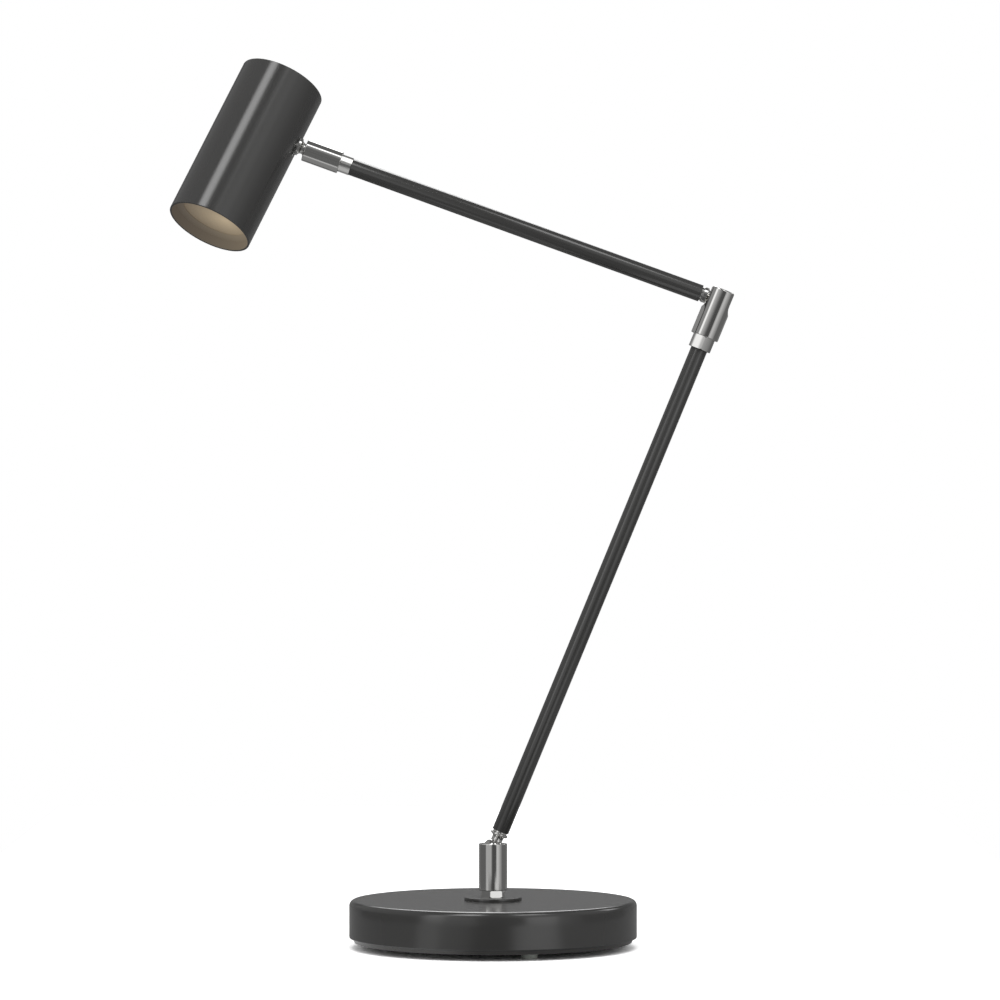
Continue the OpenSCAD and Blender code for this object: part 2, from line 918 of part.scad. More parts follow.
// Stud of the head: a neck that widens like a trumpet and is seated on the head's round side
module head_stud() {
  neck_r = head_neck_d / 2;
  neck_z = sqrt(head_ball_r * head_ball_r - neck_r * neck_r) + neck_play;
  bore_r = head_stud_bore / 2;
  flare = trumpet_d / 2 - neck_r;
  rim_z = head_standoff - trumpet_rim_h;
  end_z = head_standoff + trumpet_into;
  color(chrome)
    difference() {
      along_head_stud() {
        shank(head_ball_r, neck_r, head_shank_d / 2, bore_r);
        rotate_extrude()
          polygon([
            [bore_r, neck_z], [neck_r, neck_z],
            for (a = [0 : trumpet_step : 90 - trumpet_step])
              [neck_r + flare * (1 - cos(a)), neck_z + (rim_z - neck_z) * sin(a)],
            [trumpet_d / 2, rim_z], [trumpet_d / 2, end_z], [stem_r, end_z],
            [stem_r, head_standoff + stem_len], [bore_r, head_standoff + stem_len]
          ]);
      }
      in_head()
        translate([0, 0, -trumpet_d])
          difference() {
            cylinder(r = head_r, h = 2 * trumpet_d);
            translate([-head_r - over, 0, trumpet_d])
              rotate([0, 90, 0])
                cylinder(r = stem_r + press_gap, h = head_r);
          }
    }
}

module head_clip() {
  color(steel)
    along_head_stud()
      shank_clip(head_ball_r, head_shank_d / 2);
}

module head_shell() {
  color(black_paint)
    in_head()
      difference() {
        rotate_extrude()
          difference() {
            translate([0, -stud_from_back])
              square([head_r, head_len]);
            translate([head_r, mouth_z])
              corner_cut(shell_corner);
            translate([head_r, -stud_from_back])
              mirror([0, 1])
                corner_cut(shell_corner);
            translate([0, -stud_from_back - over])
              square([head_bore_r, head_len + 2 * over]);
          }
        translate([-head_r - over, 0, 0])
          rotate([0, 90, 0])
            cylinder(r = stem_r + fit_gap, h = head_r);
      }
}

module back_cap() {
  color(black_paint)
    in_head()
      translate([0, 0, -stud_from_back])
        difference() {
          cylinder(r = head_bore_r - press_gap, h = cap_skirt);
          translate([0, 0, cap_disc_t])
            cylinder(r = head_bore_r - cap_skirt_t, h = cap_skirt);
        }
}

// Washer inside the head, rounded on one side to the bore of the shell
module stud_washer() {
  color(steel)
    in_head()
      intersection() {
        cylinder(r = head_bore_r - press_gap, h = 4 * stud_washer_r, center = true);
        translate([-head_bore_r, 0, 0])
          rotate([0, 90, 0])
            ring(stud_washer_r, stem_r + fit_gap, stud_washer_t);
      }
}

module stud_nut() {
  color(brass)
    in_head()
      translate([-head_bore_r + stud_washer_t, 0, 0])
        rotate([0, 90, 0])
          difference() {
            hexagon(stud_nut_af, stud_nut_h, stud_nut_corner);
            translate([0, 0, -over])
              cylinder(r = stem_r + press_gap, h = stud_nut_h + 2 * over);
          }
}

module heat_sink() {
  color([0.66, 0.67, 0.68])
    in_head()
      translate([0, 0, sink_z]) {
        cylinder(r = head_bore_r - press_gap, h = sink_plate_t);
        translate([0, 0, -fin_len])
          cylinder(r = sink_core_r, h = fin_len + over);
        intersection() {
          translate([0, 0, -fin_len])
            cylinder(r = head_bore_r - sink_gap, h = fin_len + over);
          for (i = [0 : fin_count - 1])
            rotate([0, 0, i * 360 / fin_count])
              translate([sink_core_r / 2, -fin_t / 2, -fin_len])
                cube([head_r, fin_t, fin_len + over]);
        }
      }
}

module at_board_screws() {
  for (x = [-board_screw_x, board_screw_x])
    translate([x, 0, 0])
      children();
}

module led_board() {
  color([0.92, 0.92, 0.90])
    in_head()
      translate([0, 0, sink_z + sink_plate_t])
        difference() {
          cylinder(r = board_r, h = board_t);
          at_board_screws()
            translate([0, 0, -over])
              cylinder(r = board_screw_r + fit_gap, h = board_t + 2 * over);
        }
}

module led_chip() {
  color([0.93, 0.80, 0.35])
    in_head()
      translate([0, 0, reflector_z])
        cylinder(r = chip_r, h = chip_t);
}

module board_screws() {
  color(steel)
    in_head()
      translate([0, 0, reflector_z])
        at_board_screws() {
          cylinder(r = board_screw_head_r, h = board_screw_head_h);
          translate([0, 0, -board_t])
            cylinder(r = board_screw_r, h = board_t + over);
        }
}

// Reflector: a thin cone from the light source out to a flange that carries the lens
module reflector() {
  low_r = board_screw_x + board_screw_head_r + reflector_screw_gap;
  high_r = head_bore_r - ring_w + reflector_ring_gap;
  flange_z = reflector_len - reflector_flange_t;
  color([0.80, 0.78, 0.72])
    in_head()
      translate([0, 0, reflector_z])
        rotate_extrude()
          polygon([
            [low_r, 0], [low_r + reflector_t, 0], [high_r + reflector_t, flange_z],
            [lens_r, flange_z], [lens_r, reflector_len], [high_r, reflector_len]
          ]);
}

module lens() {
  color([0.80, 0.70, 0.54])
    in_head()
      translate([0, 0, lens_z - lens_t])
        cylinder(r = lens_r, h = lens_t);
}

module front_ring() {
  color(black_paint)
    in_head()
      translate([0, 0, lens_z])
        rotate_extrude()
          polygon([
            [head_bore_r - ring_w, 0], [lens_r, 0], [lens_r, ring_h],
            [lens_r - ring_edge_w, ring_h], [head_bore_r - ring_w, ring_lip_h]
          ]);
}

foot(0);  // foot_right
foot(1);  // foot_rear
foot(2);  // foot_left
bottom_plate();
plate_screws();
ballast_weight();
base_cap();
lead_inlet();
terminal_block();
lead_clamp();
clamp_screws();
threaded_tube();
under_nut();
lock_washer();
trim_washer();
base_nut();
base_socket();
base_springs();
base_seat();
base_ball();
lower_stud();
lower_clip();
lower_tube();
elbow_nut();
elbow_socket();
elbow_springs();
elbow_seat();
elbow_ball();
upper_stud();
upper_clip();
upper_tube();
head_nut();
head_socket();
head_springs();
head_seat();
head_ball();
head_stud();
head_clip();
head_shell();
back_cap();
stud_washer();
stud_nut();
heat_sink();
led_board();
led_chip();
board_screws();
reflector();
lens();
front_ring();
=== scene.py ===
"""Table lamp with a round weighted base, two tube arms on chromed ball joints and a
cylindrical spotlight head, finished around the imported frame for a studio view."""

import functools
import json
import math

import bmesh
import bpy
from bpy.props import FloatProperty, FloatVectorProperty, IntProperty, PointerProperty
from mathutils import Matrix, Vector


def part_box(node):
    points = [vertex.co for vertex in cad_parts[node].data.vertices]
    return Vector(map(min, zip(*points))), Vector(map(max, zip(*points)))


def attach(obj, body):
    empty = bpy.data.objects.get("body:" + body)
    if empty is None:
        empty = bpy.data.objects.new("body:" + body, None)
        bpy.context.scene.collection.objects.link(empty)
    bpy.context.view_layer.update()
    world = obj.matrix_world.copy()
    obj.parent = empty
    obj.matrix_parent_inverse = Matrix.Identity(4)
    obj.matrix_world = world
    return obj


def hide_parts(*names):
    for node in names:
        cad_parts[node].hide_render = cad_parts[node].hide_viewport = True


bl_info = {
    "name": "Table Lamp",
    "version": (1, 0, 0),
    "blender": (4, 5, 0),
    "location": "View3D > Sidebar > Lamp",
    "description": "Builds a table lamp with ball-jointed arms, its finishes and its studio",
    "category": "Add Mesh",
}

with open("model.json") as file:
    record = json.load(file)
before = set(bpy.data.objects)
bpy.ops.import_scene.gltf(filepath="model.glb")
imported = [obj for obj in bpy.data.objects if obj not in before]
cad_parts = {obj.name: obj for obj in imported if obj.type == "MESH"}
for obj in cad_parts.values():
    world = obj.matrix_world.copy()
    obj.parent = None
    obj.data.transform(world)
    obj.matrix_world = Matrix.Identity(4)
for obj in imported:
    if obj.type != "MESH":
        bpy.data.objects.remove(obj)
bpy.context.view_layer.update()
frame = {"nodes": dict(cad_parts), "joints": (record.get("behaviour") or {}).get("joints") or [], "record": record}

JOINTS = {joint["name"]: joint for joint in frame["joints"]}
SLOT_OF = {part["node"]: part["material_slot"] for part in frame["record"]["subparts"]}

# Sides of a turned piece, and of the small ones
SIDES = 160
PAD_SIDES, INLET_SIDES, DRILL_SIDES = 64, 72, 48
# Steps of the curves of an outline
CORNER_STEPS, NECK_STEPS, FLARE_STEPS, LENS_STEPS, CAVITY_STEPS, BALL_STEPS = 5, 12, 18, 24, 16, 64
# Faces that meet at more than this stay sharp, and a tube's ends are bevelled past the other
SHARP, TUBE_END = math.radians(32), math.radians(60)
# Points nearer than this are one point
MERGE = 1e-7
# Distance from a corner at which an extra edge holds the shading of the flat beside it
HOLD = 0.0001
# Radii of the small edges
FINE_EDGE, EDGE, SOFT_EDGE = 0.0002, 0.0003, 0.0004
# Clearance of a plug in its bore
PLUG_GAP = 0.00002
# Nuts: facets, how far their turned faces stay inside the corners, and the crown of their flats
NUT_SIDES = 144
NUT_CHAMFER = 0.0006
FLAT_CROWN = 0.00012
# One half of the elbow socket: columns round its arcs, steps of the slot's edges and their width
COLUMNS = 72
BLEND_STEPS = 3
SLOT_EDGE = 0.00025
# Steps up the elbow socket: its lower edge, the slot's round end, the cheeks, their upper edge
LOWER_STEPS, SLOT_STEPS, CHEEK_STEPS, UPPER_STEPS = 4, 16, 22, 6
# Sockets of a mix node
SHARE, TONE_A, TONE_B, COLOUR_A, COLOUR_B, COLOUR_RESULT = 0, 2, 3, 6, 7, 2
# Camera sensor in millimetres, and how far the camera sees in metres
SENSOR = 36
CAMERA_REACH = 20
# The floor lies a little below the pads, and the light painted on the floor beside the base's rim fades over a
# tenth
FLOOR_LEVEL = -0.0001
PAINTED_RIM_LIGHT_FADE = 1.1
# The strip, a long panel of light above the front
STRIP_SIZE, STRIP_PLACE, STRIP_TARGET = (1.5, 0.3), (-0.1, -1.32, 2.1), (0, 0, 0.35)


# Sizes and colours


def length_setting(name, description, default, low, high):
    """Length in metres that the user may change."""
    return FloatProperty(
        name=name, description=description, default=default, min=low, max=high, unit="LENGTH")


def angle_setting(name, description, default):
    """Angle in radians that the user may change."""
    return FloatProperty(
        name=name, description=description, default=default, subtype="ANGLE", unit="ROTATION")


def share_setting(name, description, default):
    """Value from 0 to 1 that the user may change."""
    return FloatProperty(
        name=name, description=description, default=default, min=0, max=1, subtype="FACTOR")


def colour_setting(name, description, default):
    """Colour that the user may change."""
    return FloatVectorProperty(
        name=name, description=description, default=default, min=0, max=1, subtype="COLOR")


def point_setting(name, description, default):
    """Place in metres that the user may change."""
    return FloatVectorProperty(
        name=name, description=description, default=default, subtype="XYZ", unit="LENGTH")


class LampBaseSizes(bpy.types.PropertyGroup):
    cap_corner: length_setting(
        "Cap corner", "Radius of the cap's upper edge", 0.0032, 0.001, 0.008)
    cap_wall: length_setting("Cap wall", "Wall of the base cap", 0.002, 0.001, 0.003)
    cap_rim: length_setting("Cap rim", "Radius of the cap's lower edge", 0.0005, 0.0002, 0.0009)
    centre_hole: length_setting(
        "Centre hole", "Radius of the hole for the threaded tube", 0.0051, 0.004, 0.006)
    inlet_height: length_setting(
        "Inlet height", "Height of the lead inlet above the cap's lower edge", 0.0065, 0.006, 0.008)
    inlet_hole: length_setting(
        "Inlet hole", "Radius of the hole in the cap's wall", 0.00405, 0.003, 0.005)
    inlet_bore: length_setting("Inlet bore", "Radius of the grommet's bore", 0.0026, 0.001, 0.003)
    inlet_groove: length_setting(
        "Inlet groove", "Depth of the grommet's groove", 0.0016, 0.001, 0.002)
    washer_edge: length_setting(
        "Washer edge", "Radius of the trim washer's upper edge", 0.0004, 0.0001, 0.0007)
    foot_low: length_setting(
        "Foot radius", "Radius of a foot pad on the table", 0.00415, 0.003, 0.0055)
    foot_count: IntProperty(
        name="Feet", description="Number of foot pads", default=3, min=3, max=6)
    foot_turn: angle_setting(
        "Foot turn", "Turn of the first pad from the front towards +X", math.radians(17.6))


class LampJointSizes(bpy.types.PropertyGroup):
    ball: length_setting(
        "Large ball", "Radius of the balls at the base and the elbow", 0.00625, 0.005, 0.007)
    cavity: length_setting(
        "Large cavity", "Radius inside the large sockets", 0.00645, 0.005, 0.008)
    neck: length_setting("Neck", "Radius of the neck above a large ball", 0.0036, 0.0025, 0.004)
    waist: length_setting(
        "Waist", "How much a neck is drawn in at its middle", 0.00025, 0.0, 0.0006)
    socket_corner: length_setting(
        "Socket edge", "Radius of the edges of the turned sockets", 0.0004, 0.0001, 0.0008)
    elbow_corner: length_setting(
        "Elbow top edge", "Radius of the elbow socket's upper edge", 0.001, 0.0004, 0.0016)
    slot_width: length_setting(
        "Slot width", "Width of the slot across the elbow socket", 0.0097, 0.008, 0.011)
    slot_depth: length_setting(
        "Slot depth", "Depth of that slot below the ball's centre", 0.007, 0.006, 0.008)
    nut_flat: length_setting(
        "Large nut", "Width across the flats of the base and elbow nuts", 0.013, 0.012, 0.016)
    base_nut_turn: angle_setting(
        "Base nut turn", "Turn of the base nut about its axis", math.radians(17))
    elbow_nut_turn: angle_setting(
        "Elbow nut turn", "Turn of the elbow nut about its axis", math.radians(35))
    nut_draft: length_setting(
        "Nut draft", "How much the base nut's flats draw in towards the socket", 0.00028, 0.0, 0.0005)
    head_ball: length_setting("Head ball", "Radius of the ball at the head", 0.005, 0.004, 0.006)
    head_cavity: length_setting(
        "Head cavity", "Radius inside the head socket", 0.0052, 0.004, 0.006)
    head_neck: length_setting(
        "Head neck", "Radius of the neck above the head ball", 0.0032, 0.0025, 0.0035)
    head_nut_flat: length_setting(
        "Head nut", "Width across the flats of the head socket's nut", 0.0104, 0.0102, 0.012)
    head_nut_turn: angle_setting(
        "Head nut turn", "Turn of the head socket's nut about its axis", math.radians(30))
    base_nut_tail: length_setting(
        "Base nut tail", "Radius at the base nut's lower end", 0.0052, 0.005, 0.006)
    base_nut_bore: length_setting(
        "Base nut bore", "Radius of the base nut's bore", 0.0049, 0.004, 0.0051)
    elbow_nut_tail: length_setting(
        "Elbow nut tail", "Radius at the elbow nut's lower end", 0.00502, 0.0045, 0.006)
    elbow_nut_bore: length_setting(
        "Elbow nut bore", "Radius of the elbow nut's bore", 0.0032, 0.002, 0.0045)
    head_nut_tail: length_setting(
        "Head nut tail", "Radius at the head nut's lower end", 0.00405, 0.0035, 0.005)
    head_nut_bore: length_setting(
        "Head nut bore", "Radius of the head nut's bore", 0.0022, 0.001, 0.0035)
    tube_wall: length_setting("Tube wall", "Wall of the arm tubes", 0.0009, 0.0005, 0.0015)
    ball_gap: length_setting(
        "Ball gap", "Gap between a ball and the neck that turns on it", 0.00003, 0, 0.0002)
    arm_nut_crown: length_setting(
        "Arm nut crown", "Crown of the flats of the elbow's and the head's nut", 0.0002, 0, 0.0006)


class LampHeadSizes(bpy.types.PropertyGroup):
    radius: length_setting("Radius", "Outer radius of the head", 0.0256, 0.024, 0.035)
    wall: length_setting("Wall", "Wall of the head's shell", 0.0012, 0.0008, 0.002)
    standoff: length_setting(
        "Standoff", "From the head ball's centre to the side of the head", 0.00715, 0.007, 0.01)
    turn: angle_setting(
        "Turn", "Turn of the head about its stud, mouth towards the front", math.radians(21.2))
    edge: length_setting("Edge", "Radius of the shell's edges", 0.0003, 0.0001, 0.0006)
    lens_crown: length_setting(
        "Lens crown", "How far the lens is crowned at its middle", 0.0003, 0.0, 0.0006)


class LampFinishes(bpy.types.PropertyGroup):
    black: colour_setting(
        "Black paint", "Colour of the satin black paint", (0.038, 0.0375, 0.0365))
    black_roughness: share_setting("Black roughness", "Middle roughness of the black paint", 0.17)
    chrome: colour_setting("Chrome", "Colour of the chrome plate", (0.78, 0.775, 0.76))
    chrome_roughness: share_setting(
        "Chrome roughness", "Middle roughness of the chrome plate", 0.06)
    # Emission that paints the light in the mouth. It is the lamp's own faint light at the lens, plus painted light
    # and shade that fade from a point over the lens, the inner wall and the front ring.
    painted_light_centre: point_setting(
        "Painted light centre", "Where the light in the mouth is strongest", (-0.1567, -0.0226, 0.4283))
    painted_light_reach: length_setting(
        "Painted light reach", "How far from there the light fades out", 0.042, 0.01, 0.2)
    painted_light_near: colour_setting(
        "Painted light near", "Colour of that light on the lens", (0.37, 0.295, 0.195))
    painted_light_far: colour_setting(
        "Painted light far", "Colour of that light at the rim of the mouth", (0.050, 0.040, 0.032))
    lens: colour_setting("Lens", "Colour of the frosted lens", (0.16, 0.13, 0.09))
    pad: colour_setting("Pad", "Colour of the clear foot pads", (0.78, 0.82, 0.76))


class LampStudioSettings(bpy.types.PropertyGroup):
    focal_length: FloatProperty(
        name="Focal length", description="Focal length of the camera on a 36 mm sensor, in mm",
        default=182.97, min=20, max=400)
    camera_place: point_setting("Camera", "Place of the camera", (0.0041, -3.0001, 0.29157))
    camera_pitch: angle_setting("Camera pitch", "How far the camera looks down", 0.00904)
    floor_half_width: length_setting(
        "Floor half width", "From the lamp to the floor's left and right edge", 0.36, 0.3, 4)
    floor_front: length_setting(
        "Floor front", "From the lamp to the floor's front edge", 0.62, 0.3, 2)
    floor_back: length_setting(
        "Floor back", "From the lamp to the floor's back edge", 1.2, 0.3, 4)
    floor_tone: share_setting("Floor tone", "Lightness of the floor as it lights the lamp", 0.5)
    floor_white: FloatProperty(
        name="Floor white", description="Lightness of the floor as the camera sees it",
        default=1.8, min=0, max=4)
    # A pool of light painted on the floor beside the base's lower rim. It is seen only in reflections, and it
    # paints a highlight line on that rim.
    painted_rim_light: FloatProperty(
        name="Painted rim light", description="Lightness of the floor beside the base's lower rim",
        default=1.3, min=0, max=8)
    painted_rim_light_end: length_setting(
        "Painted rim light end", "How far from the lamp's middle that light reaches", 0.105, 0.09, 0.2)
    fade_start: length_setting(
        "Fade start", "Where the floor starts to fade from reflections", 0.46, 0, 2)
    fade_end: length_setting("Fade end", "Where the floor has gone from reflections", 0.54, 0, 2)
    room_level: FloatProperty(
        name="Room level", description="Plain light from all round",
        default=0.75, min=0, max=2)
    strip_power: FloatProperty(
        name="Strip", description="Power of the long panel above the front", default=18, min=0)


# Places, all taken from the frame's joints


def place_at(position, axis):
    """Frame with its origin at position, +Z along axis and +Y along the world's Y."""
    z = Vector(axis).normalized()
    y = Vector((0, 1, 0))
    turn = Matrix((y.cross(z), y, z)).transposed()
    return Matrix.Translation(position) @ turn.to_4x4()


def joint_place(at, along):
    """Frame at one joint's centre, with +Z along another joint's axis."""
    return place_at(Vector(JOINTS[at]["pos_m"]), JOINTS[along]["axis"])


ON_TABLE = Matrix.Identity(4)
BASE_BALL = joint_place("base_lean", "base_swivel")
LOWER_ARM = joint_place("base_lean", "lower_arm_spin")
ELBOW_SOCKET = joint_place("elbow_bend", "lower_arm_spin")
UPPER_ARM = joint_place("elbow_bend", "upper_arm_spin")
HEAD_SOCKET = joint_place("head_tilt", "upper_arm_spin")
HEAD_STUD = joint_place("head_tilt", "head_spin")


def head_place():
    """Frame of the head: the stud's height at Z = 0 and +Z down the axis to the mouth."""
    head = bpy.context.scene.lamp_head
    return (
        HEAD_STUD
        @ Matrix.Translation((0, 0, head.radius + head.standoff))
        @ Matrix.Rotation(head.turn, 4, "Z")
        @ Matrix.Rotation(-math.pi / 2, 4, "Y")
    )


def span(node, place):
    """Lowest and highest corner of a frame node along the axes of place."""
    inverse = place.inverted()
    points = [inverse @ vertex.co for vertex in frame["nodes"][node].data.vertices]
    low = Vector([min(point[axis] for point in points) for axis in range(3)])
    high = Vector([max(point[axis] for point in points) for axis in range(3)])
    return low, high


# Meshes


def finished(name, bm, place):
    """Closes a mesh, turns its faces outwards, puts it in its place and shades it."""
    bmesh.ops.remove_doubles(bm, verts=bm.verts, dist=MERGE)
    bmesh.ops.dissolve_degenerate(bm, edges=bm.edges, dist=MERGE)
    bmesh.ops.recalc_face_normals(bm, faces=bm.faces)
    bmesh.ops.transform(bm, matrix=place, verts=bm.verts)
    mesh = bpy.data.meshes.new(name)
    bm.to_mesh(mesh)
    bm.free()
    shade_mesh(mesh)
    return new_object(name, mesh)


def new_object(name, data):
    """Object of a mesh, a light or a camera, linked into the scene."""
    item = bpy.data.objects.new(name, data)
    bpy.context.scene.collection.objects.link(item)
    return item


def shade_mesh(mesh):
    """Shades a mesh smooth but for its sharp edges."""
    mesh.shade_smooth()
    mesh.set_sharp_from_angle(angle=SHARP)


def dress(piece, body, finish, *nodes, slot=None):
    """Gives a piece its finish and its body, and lets it stand for the frame's nodes."""
    piece.data.materials.clear()
    piece.data.materials.append(finish())
    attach(piece, body)
    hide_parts(*nodes)


def rounded(outline, closed):
    """Points of an outline of (radius, height[, corner]), with an arc at each corner."""
    points = []
    count = len(outline)
    for index, (radius, height, *corner) in enumerate(outline):
        here = Vector((radius, height))
        if not corner or not (closed or 0 < index < count - 1):
            points.append(here)
            continue
        before = Vector(outline[index - 1][:2]) - here
        after = Vector(outline[(index + 1) % count][:2]) - here
        held = [side.length > 4 * (corner[0] + HOLD) for side in (before, after)]
        before.normalize()
        after.normalize()
        half = before.angle(after) / 2
        centre = here + (before + after).normalized() * corner[0] / math.sin(half)
        start = here + before * corner[0] / math.tan(half) - centre
        end = here + after * corner[0] / math.tan(half) - centre
        sweep = math.copysign(math.pi - 2 * half, start.cross(end))
        if held[0]:
            points.append(centre + start + before * HOLD)
        for step in range(CORNER_STEPS + 1):
            turn = Matrix.Rotation(sweep * step / CORNER_STEPS, 2)
            points.append(centre + turn @ start)
        if held[1]:
            points.append(centre + end + after * HOLD)
    return points


def arc(radius, start, end, steps, centre=0.0):
    """Points of an arc about the axis point at centre, its angles measured from the axis."""
    angles = [start + (end - start) * step / steps for step in range(steps + 1)]
    return [(radius * math.sin(a), centre + radius * math.cos(a)) for a in angles]


def joined_rings(bm, rings, closed):
    """Faces between rings of as many vertices each, and from the last back to the first."""
    following = rings[1:] + rings[:1] if closed else rings[1:]
    for low, high in zip(rings, following):
        for index, here in enumerate(low):
            step = (index + 1) % len(low)
            corners = dict.fromkeys((here, low[step], high[step], high[index]))
            if len(corners) > 2:
                bm.faces.new(corners)


def turned(name, outline, place, closed=True, sides=SIDES):
    """Piece turned about +Z. An outline that isn't closed starts and ends on the axis."""
    bm = bmesh.new()
    rings = []
    for radius, height in rounded(outline, closed):
        if radius < MERGE:
            rings.append([bm.verts.new((0, 0, height))] * sides)
            continue
        angles = (math.tau * side / sides for side in range(sides))
        rings.append([
            bm.verts.new((radius * math.cos(a), radius * math.sin(a), height)) for a in angles
        ])
    joined_rings(bm, rings, closed)
    return finished(name, bm, place)


def nut(name, flat, low, high, turn, plug, tail, bore, place, draft=0.0, crown=FLAT_CROWN):
    """Hexagon nut with turned corners between low and high, a plug above, a tail below."""
    kept = flat / 2 / math.cos(math.pi / 6) - NUT_CHAMFER
    angles = [turn + math.tau * side / NUT_SIDES for side in range(NUT_SIDES)]
    bm = bmesh.new()

    def hexagon(angle):
        across = (angle - turn) % (math.pi / 3) - math.pi / 6
        bow = crown * (math.tan(across) / math.tan(math.pi / 6)) ** 2
        return (flat / 2 - bow) / math.cos(across)

    def ring(radii, heights):
        return [
            bm.verts.new((radius * math.cos(angle), radius * math.sin(angle), height))
            for angle, radius, height in zip(angles, radii, heights)]

    def level(radius, height):
        return ring([radius] * NUT_SIDES, [height] * NUT_SIDES)

    sides = [hexagon(angle) for angle in angles]
    drops = [max(0.0, side - kept) for side in sides]
    faces = [min(side, kept) for side in sides]
    plug_radius, plug_top = plug
    tail_radius, tail_end = tail
    joined_rings(bm, [
        level(bore, tail_end),
        level(tail_radius, tail_end),
        level(tail_radius, low),
        ring(faces, [low] * NUT_SIDES),
        ring(sides, [low + drop for drop in drops]),
        ring([side - draft for side in sides], [high - drop for drop in drops]),
        ring([face - draft for face in faces], [high] * NUT_SIDES),
        level(plug_radius, high),
        level(plug_radius, plug_top),
        level(bore, plug_top),
    ], True)
    return finished(name, bm, place)


# Node trees


def once(kind, name):
    """Lets a function make a material or node group only if none of that name is there yet."""
    def wrap(make):
        @functools.wraps(make)
        def found_or_made():
            kept = getattr(bpy.data, kind)
            return kept[name] if name in kept else make(name)
        return found_or_made
    return wrap


def add_node(tree, kind, inputs=(), **settings):
    """A node of a tree, with its settings and its inputs, each a value or a socket to link."""
    node = tree.nodes.new(kind)
    for name, value in settings.items():
        setattr(node, name, value)
    for key, value in dict(inputs).items():
        if isinstance(value, bpy.types.NodeSocket):
            tree.links.new(value, node.inputs[key])
        else:
            node.inputs[key].default_value = value
    return node


def apply_modifiers(piece):
    """Gives a piece the mesh that its modifiers make, and removes them."""
    bpy.context.view_layer.update()
    evaluated = piece.evaluated_get(bpy.context.evaluated_depsgraph_get())
    made = bpy.data.meshes.new_from_object(evaluated)
    piece.modifiers.clear()
    piece.data = made


def nodes_modifier(piece, tree, values):
    """Runs a Geometry Nodes tree on a piece, with its inputs set by name, and applies it."""
    modifier = piece.modifiers.new(tree.name, "NODES")
    modifier.node_group = tree
    for item in tree.interface.items_tree:
        if item.item_type == "SOCKET" and item.in_out == "INPUT" and item.name in values:
            modifier[item.identifier] = values[item.name]
    apply_modifiers(piece)


def geometry_tree(name, sockets):
    """Geometry Nodes tree with a geometry in and out and the named inputs, and what comes in."""
    tree = bpy.data.node_groups.new(name, "GeometryNodeTree")
    tree.interface.new_socket("Geometry", in_out="INPUT", socket_type="NodeSocketGeometry")
    for label, (kind, default) in sockets.items():
        socket = tree.interface.new_socket(label, in_out="INPUT", socket_type=kind)
        socket.default_value = default
    tree.interface.new_socket("Material", in_out="INPUT", socket_type="NodeSocketMaterial")
    tree.interface.new_socket("Geometry", in_out="OUTPUT", socket_type="NodeSocketGeometry")
    return tree, tree.nodes.new("NodeGroupInput").outputs


def close_tree(tree, given, geometry):
    """Makes a tree's geometry real, gives it the material and puts it out."""
    real = add_node(tree, "GeometryNodeRealizeInstances", {"Geometry": geometry})
    coated = add_node(tree, "GeometryNodeSetMaterial", {
        "Geometry": real.outputs["Geometry"], "Material": given["Material"]})
    add_node(tree, "NodeGroupOutput", {"Geometry": coated.outputs["Geometry"]})
    return tree


@once("node_groups", "Ring of copies")
def ring_of_copies_tree(name):
    """Tree that sets copies of the geometry that comes in round a circle."""
    tree, given = geometry_tree(name, {
        "Count": ("NodeSocketInt", 3),
        "Radius": ("NodeSocketFloat", 0.07),
        "Turn": ("NodeSocketFloat", 0.0),
    })
    circle = add_node(tree, "GeometryNodeMeshCircle", {
        "Vertices": given["Count"], "Radius": given["Radius"]})
    turn = add_node(tree, "ShaderNodeCombineXYZ", {"Z": given["Turn"]})
    placed = add_node(tree, "GeometryNodeTransform", {
        "Geometry": circle.outputs["Mesh"], "Rotation": turn.outputs["Vector"]})
    copies = add_node(tree, "GeometryNodeInstanceOnPoints", {
        "Points": placed.outputs["Geometry"], "Instance": given["Geometry"]})
    return close_tree(tree, given, copies.outputs["Instances"])


@once("node_groups", "Drawn tube")
def drawn_tube_tree(name):
    """Tree that draws the two walls of a tube along the line that comes in."""
    tree, given = geometry_tree(name, {
        "Sides": ("NodeSocketInt", SIDES),
        "Radius": ("NodeSocketFloat", 0.005),
        "Bore": ("NodeSocketFloat", 0.004),
    })
    line = add_node(tree, "GeometryNodeMeshToCurve", {"Mesh": given["Geometry"]})
    both = add_node(tree, "GeometryNodeJoinGeometry")
    for label in ("Radius", "Bore"):
        section = add_node(tree, "GeometryNodeCurvePrimitiveCircle", {
            "Resolution": given["Sides"], "Radius": given[label]})
        wall = add_node(tree, "GeometryNodeCurveToMesh", {
            "Curve": line.outputs["Curve"], "Profile Curve": section.outputs["Curve"]})
        tree.links.new(wall.outputs["Mesh"], both.inputs["Geometry"])
    return close_tree(tree, given, both.outputs["Geometry"])


# Effects that the finishes share


SOCKET_OF = {float: "NodeSocketFloat", tuple: "NodeSocketColor", Vector: "NodeSocketVector"}
GREY = (0.5, 0.5, 0.5, 1.0)


def shader_group(name, inputs, kind="NodeSocketFloat"):
    """Shader group with named inputs and one output, and the sockets of what comes in."""
    group = bpy.data.node_groups.new(name, "ShaderNodeTree")
    for label, default in inputs.items():
        socket = group.interface.new_socket(
            label, in_out="INPUT", socket_type=SOCKET_OF[type(default)])
        socket.default_value = default
    group.interface.new_socket("Result", in_out="OUTPUT", socket_type=kind)
    return group, group.nodes.new("NodeGroupInput").outputs


def close_group(group, socket):
    """Puts a socket out as the group's result."""
    add_node(group, "NodeGroupOutput", {"Result": socket})
    return group


def object_noise(group, scale, detail):
    """Noise on Object coordinates, of the scale that the socket gives."""
    place = add_node(group, "ShaderNodeTexCoord").outputs["Object"]
    noise = add_node(group, "ShaderNodeTexNoise", {
        "Vector": place, "Scale": scale, "Detail": detail})
    return noise.outputs["Fac"]


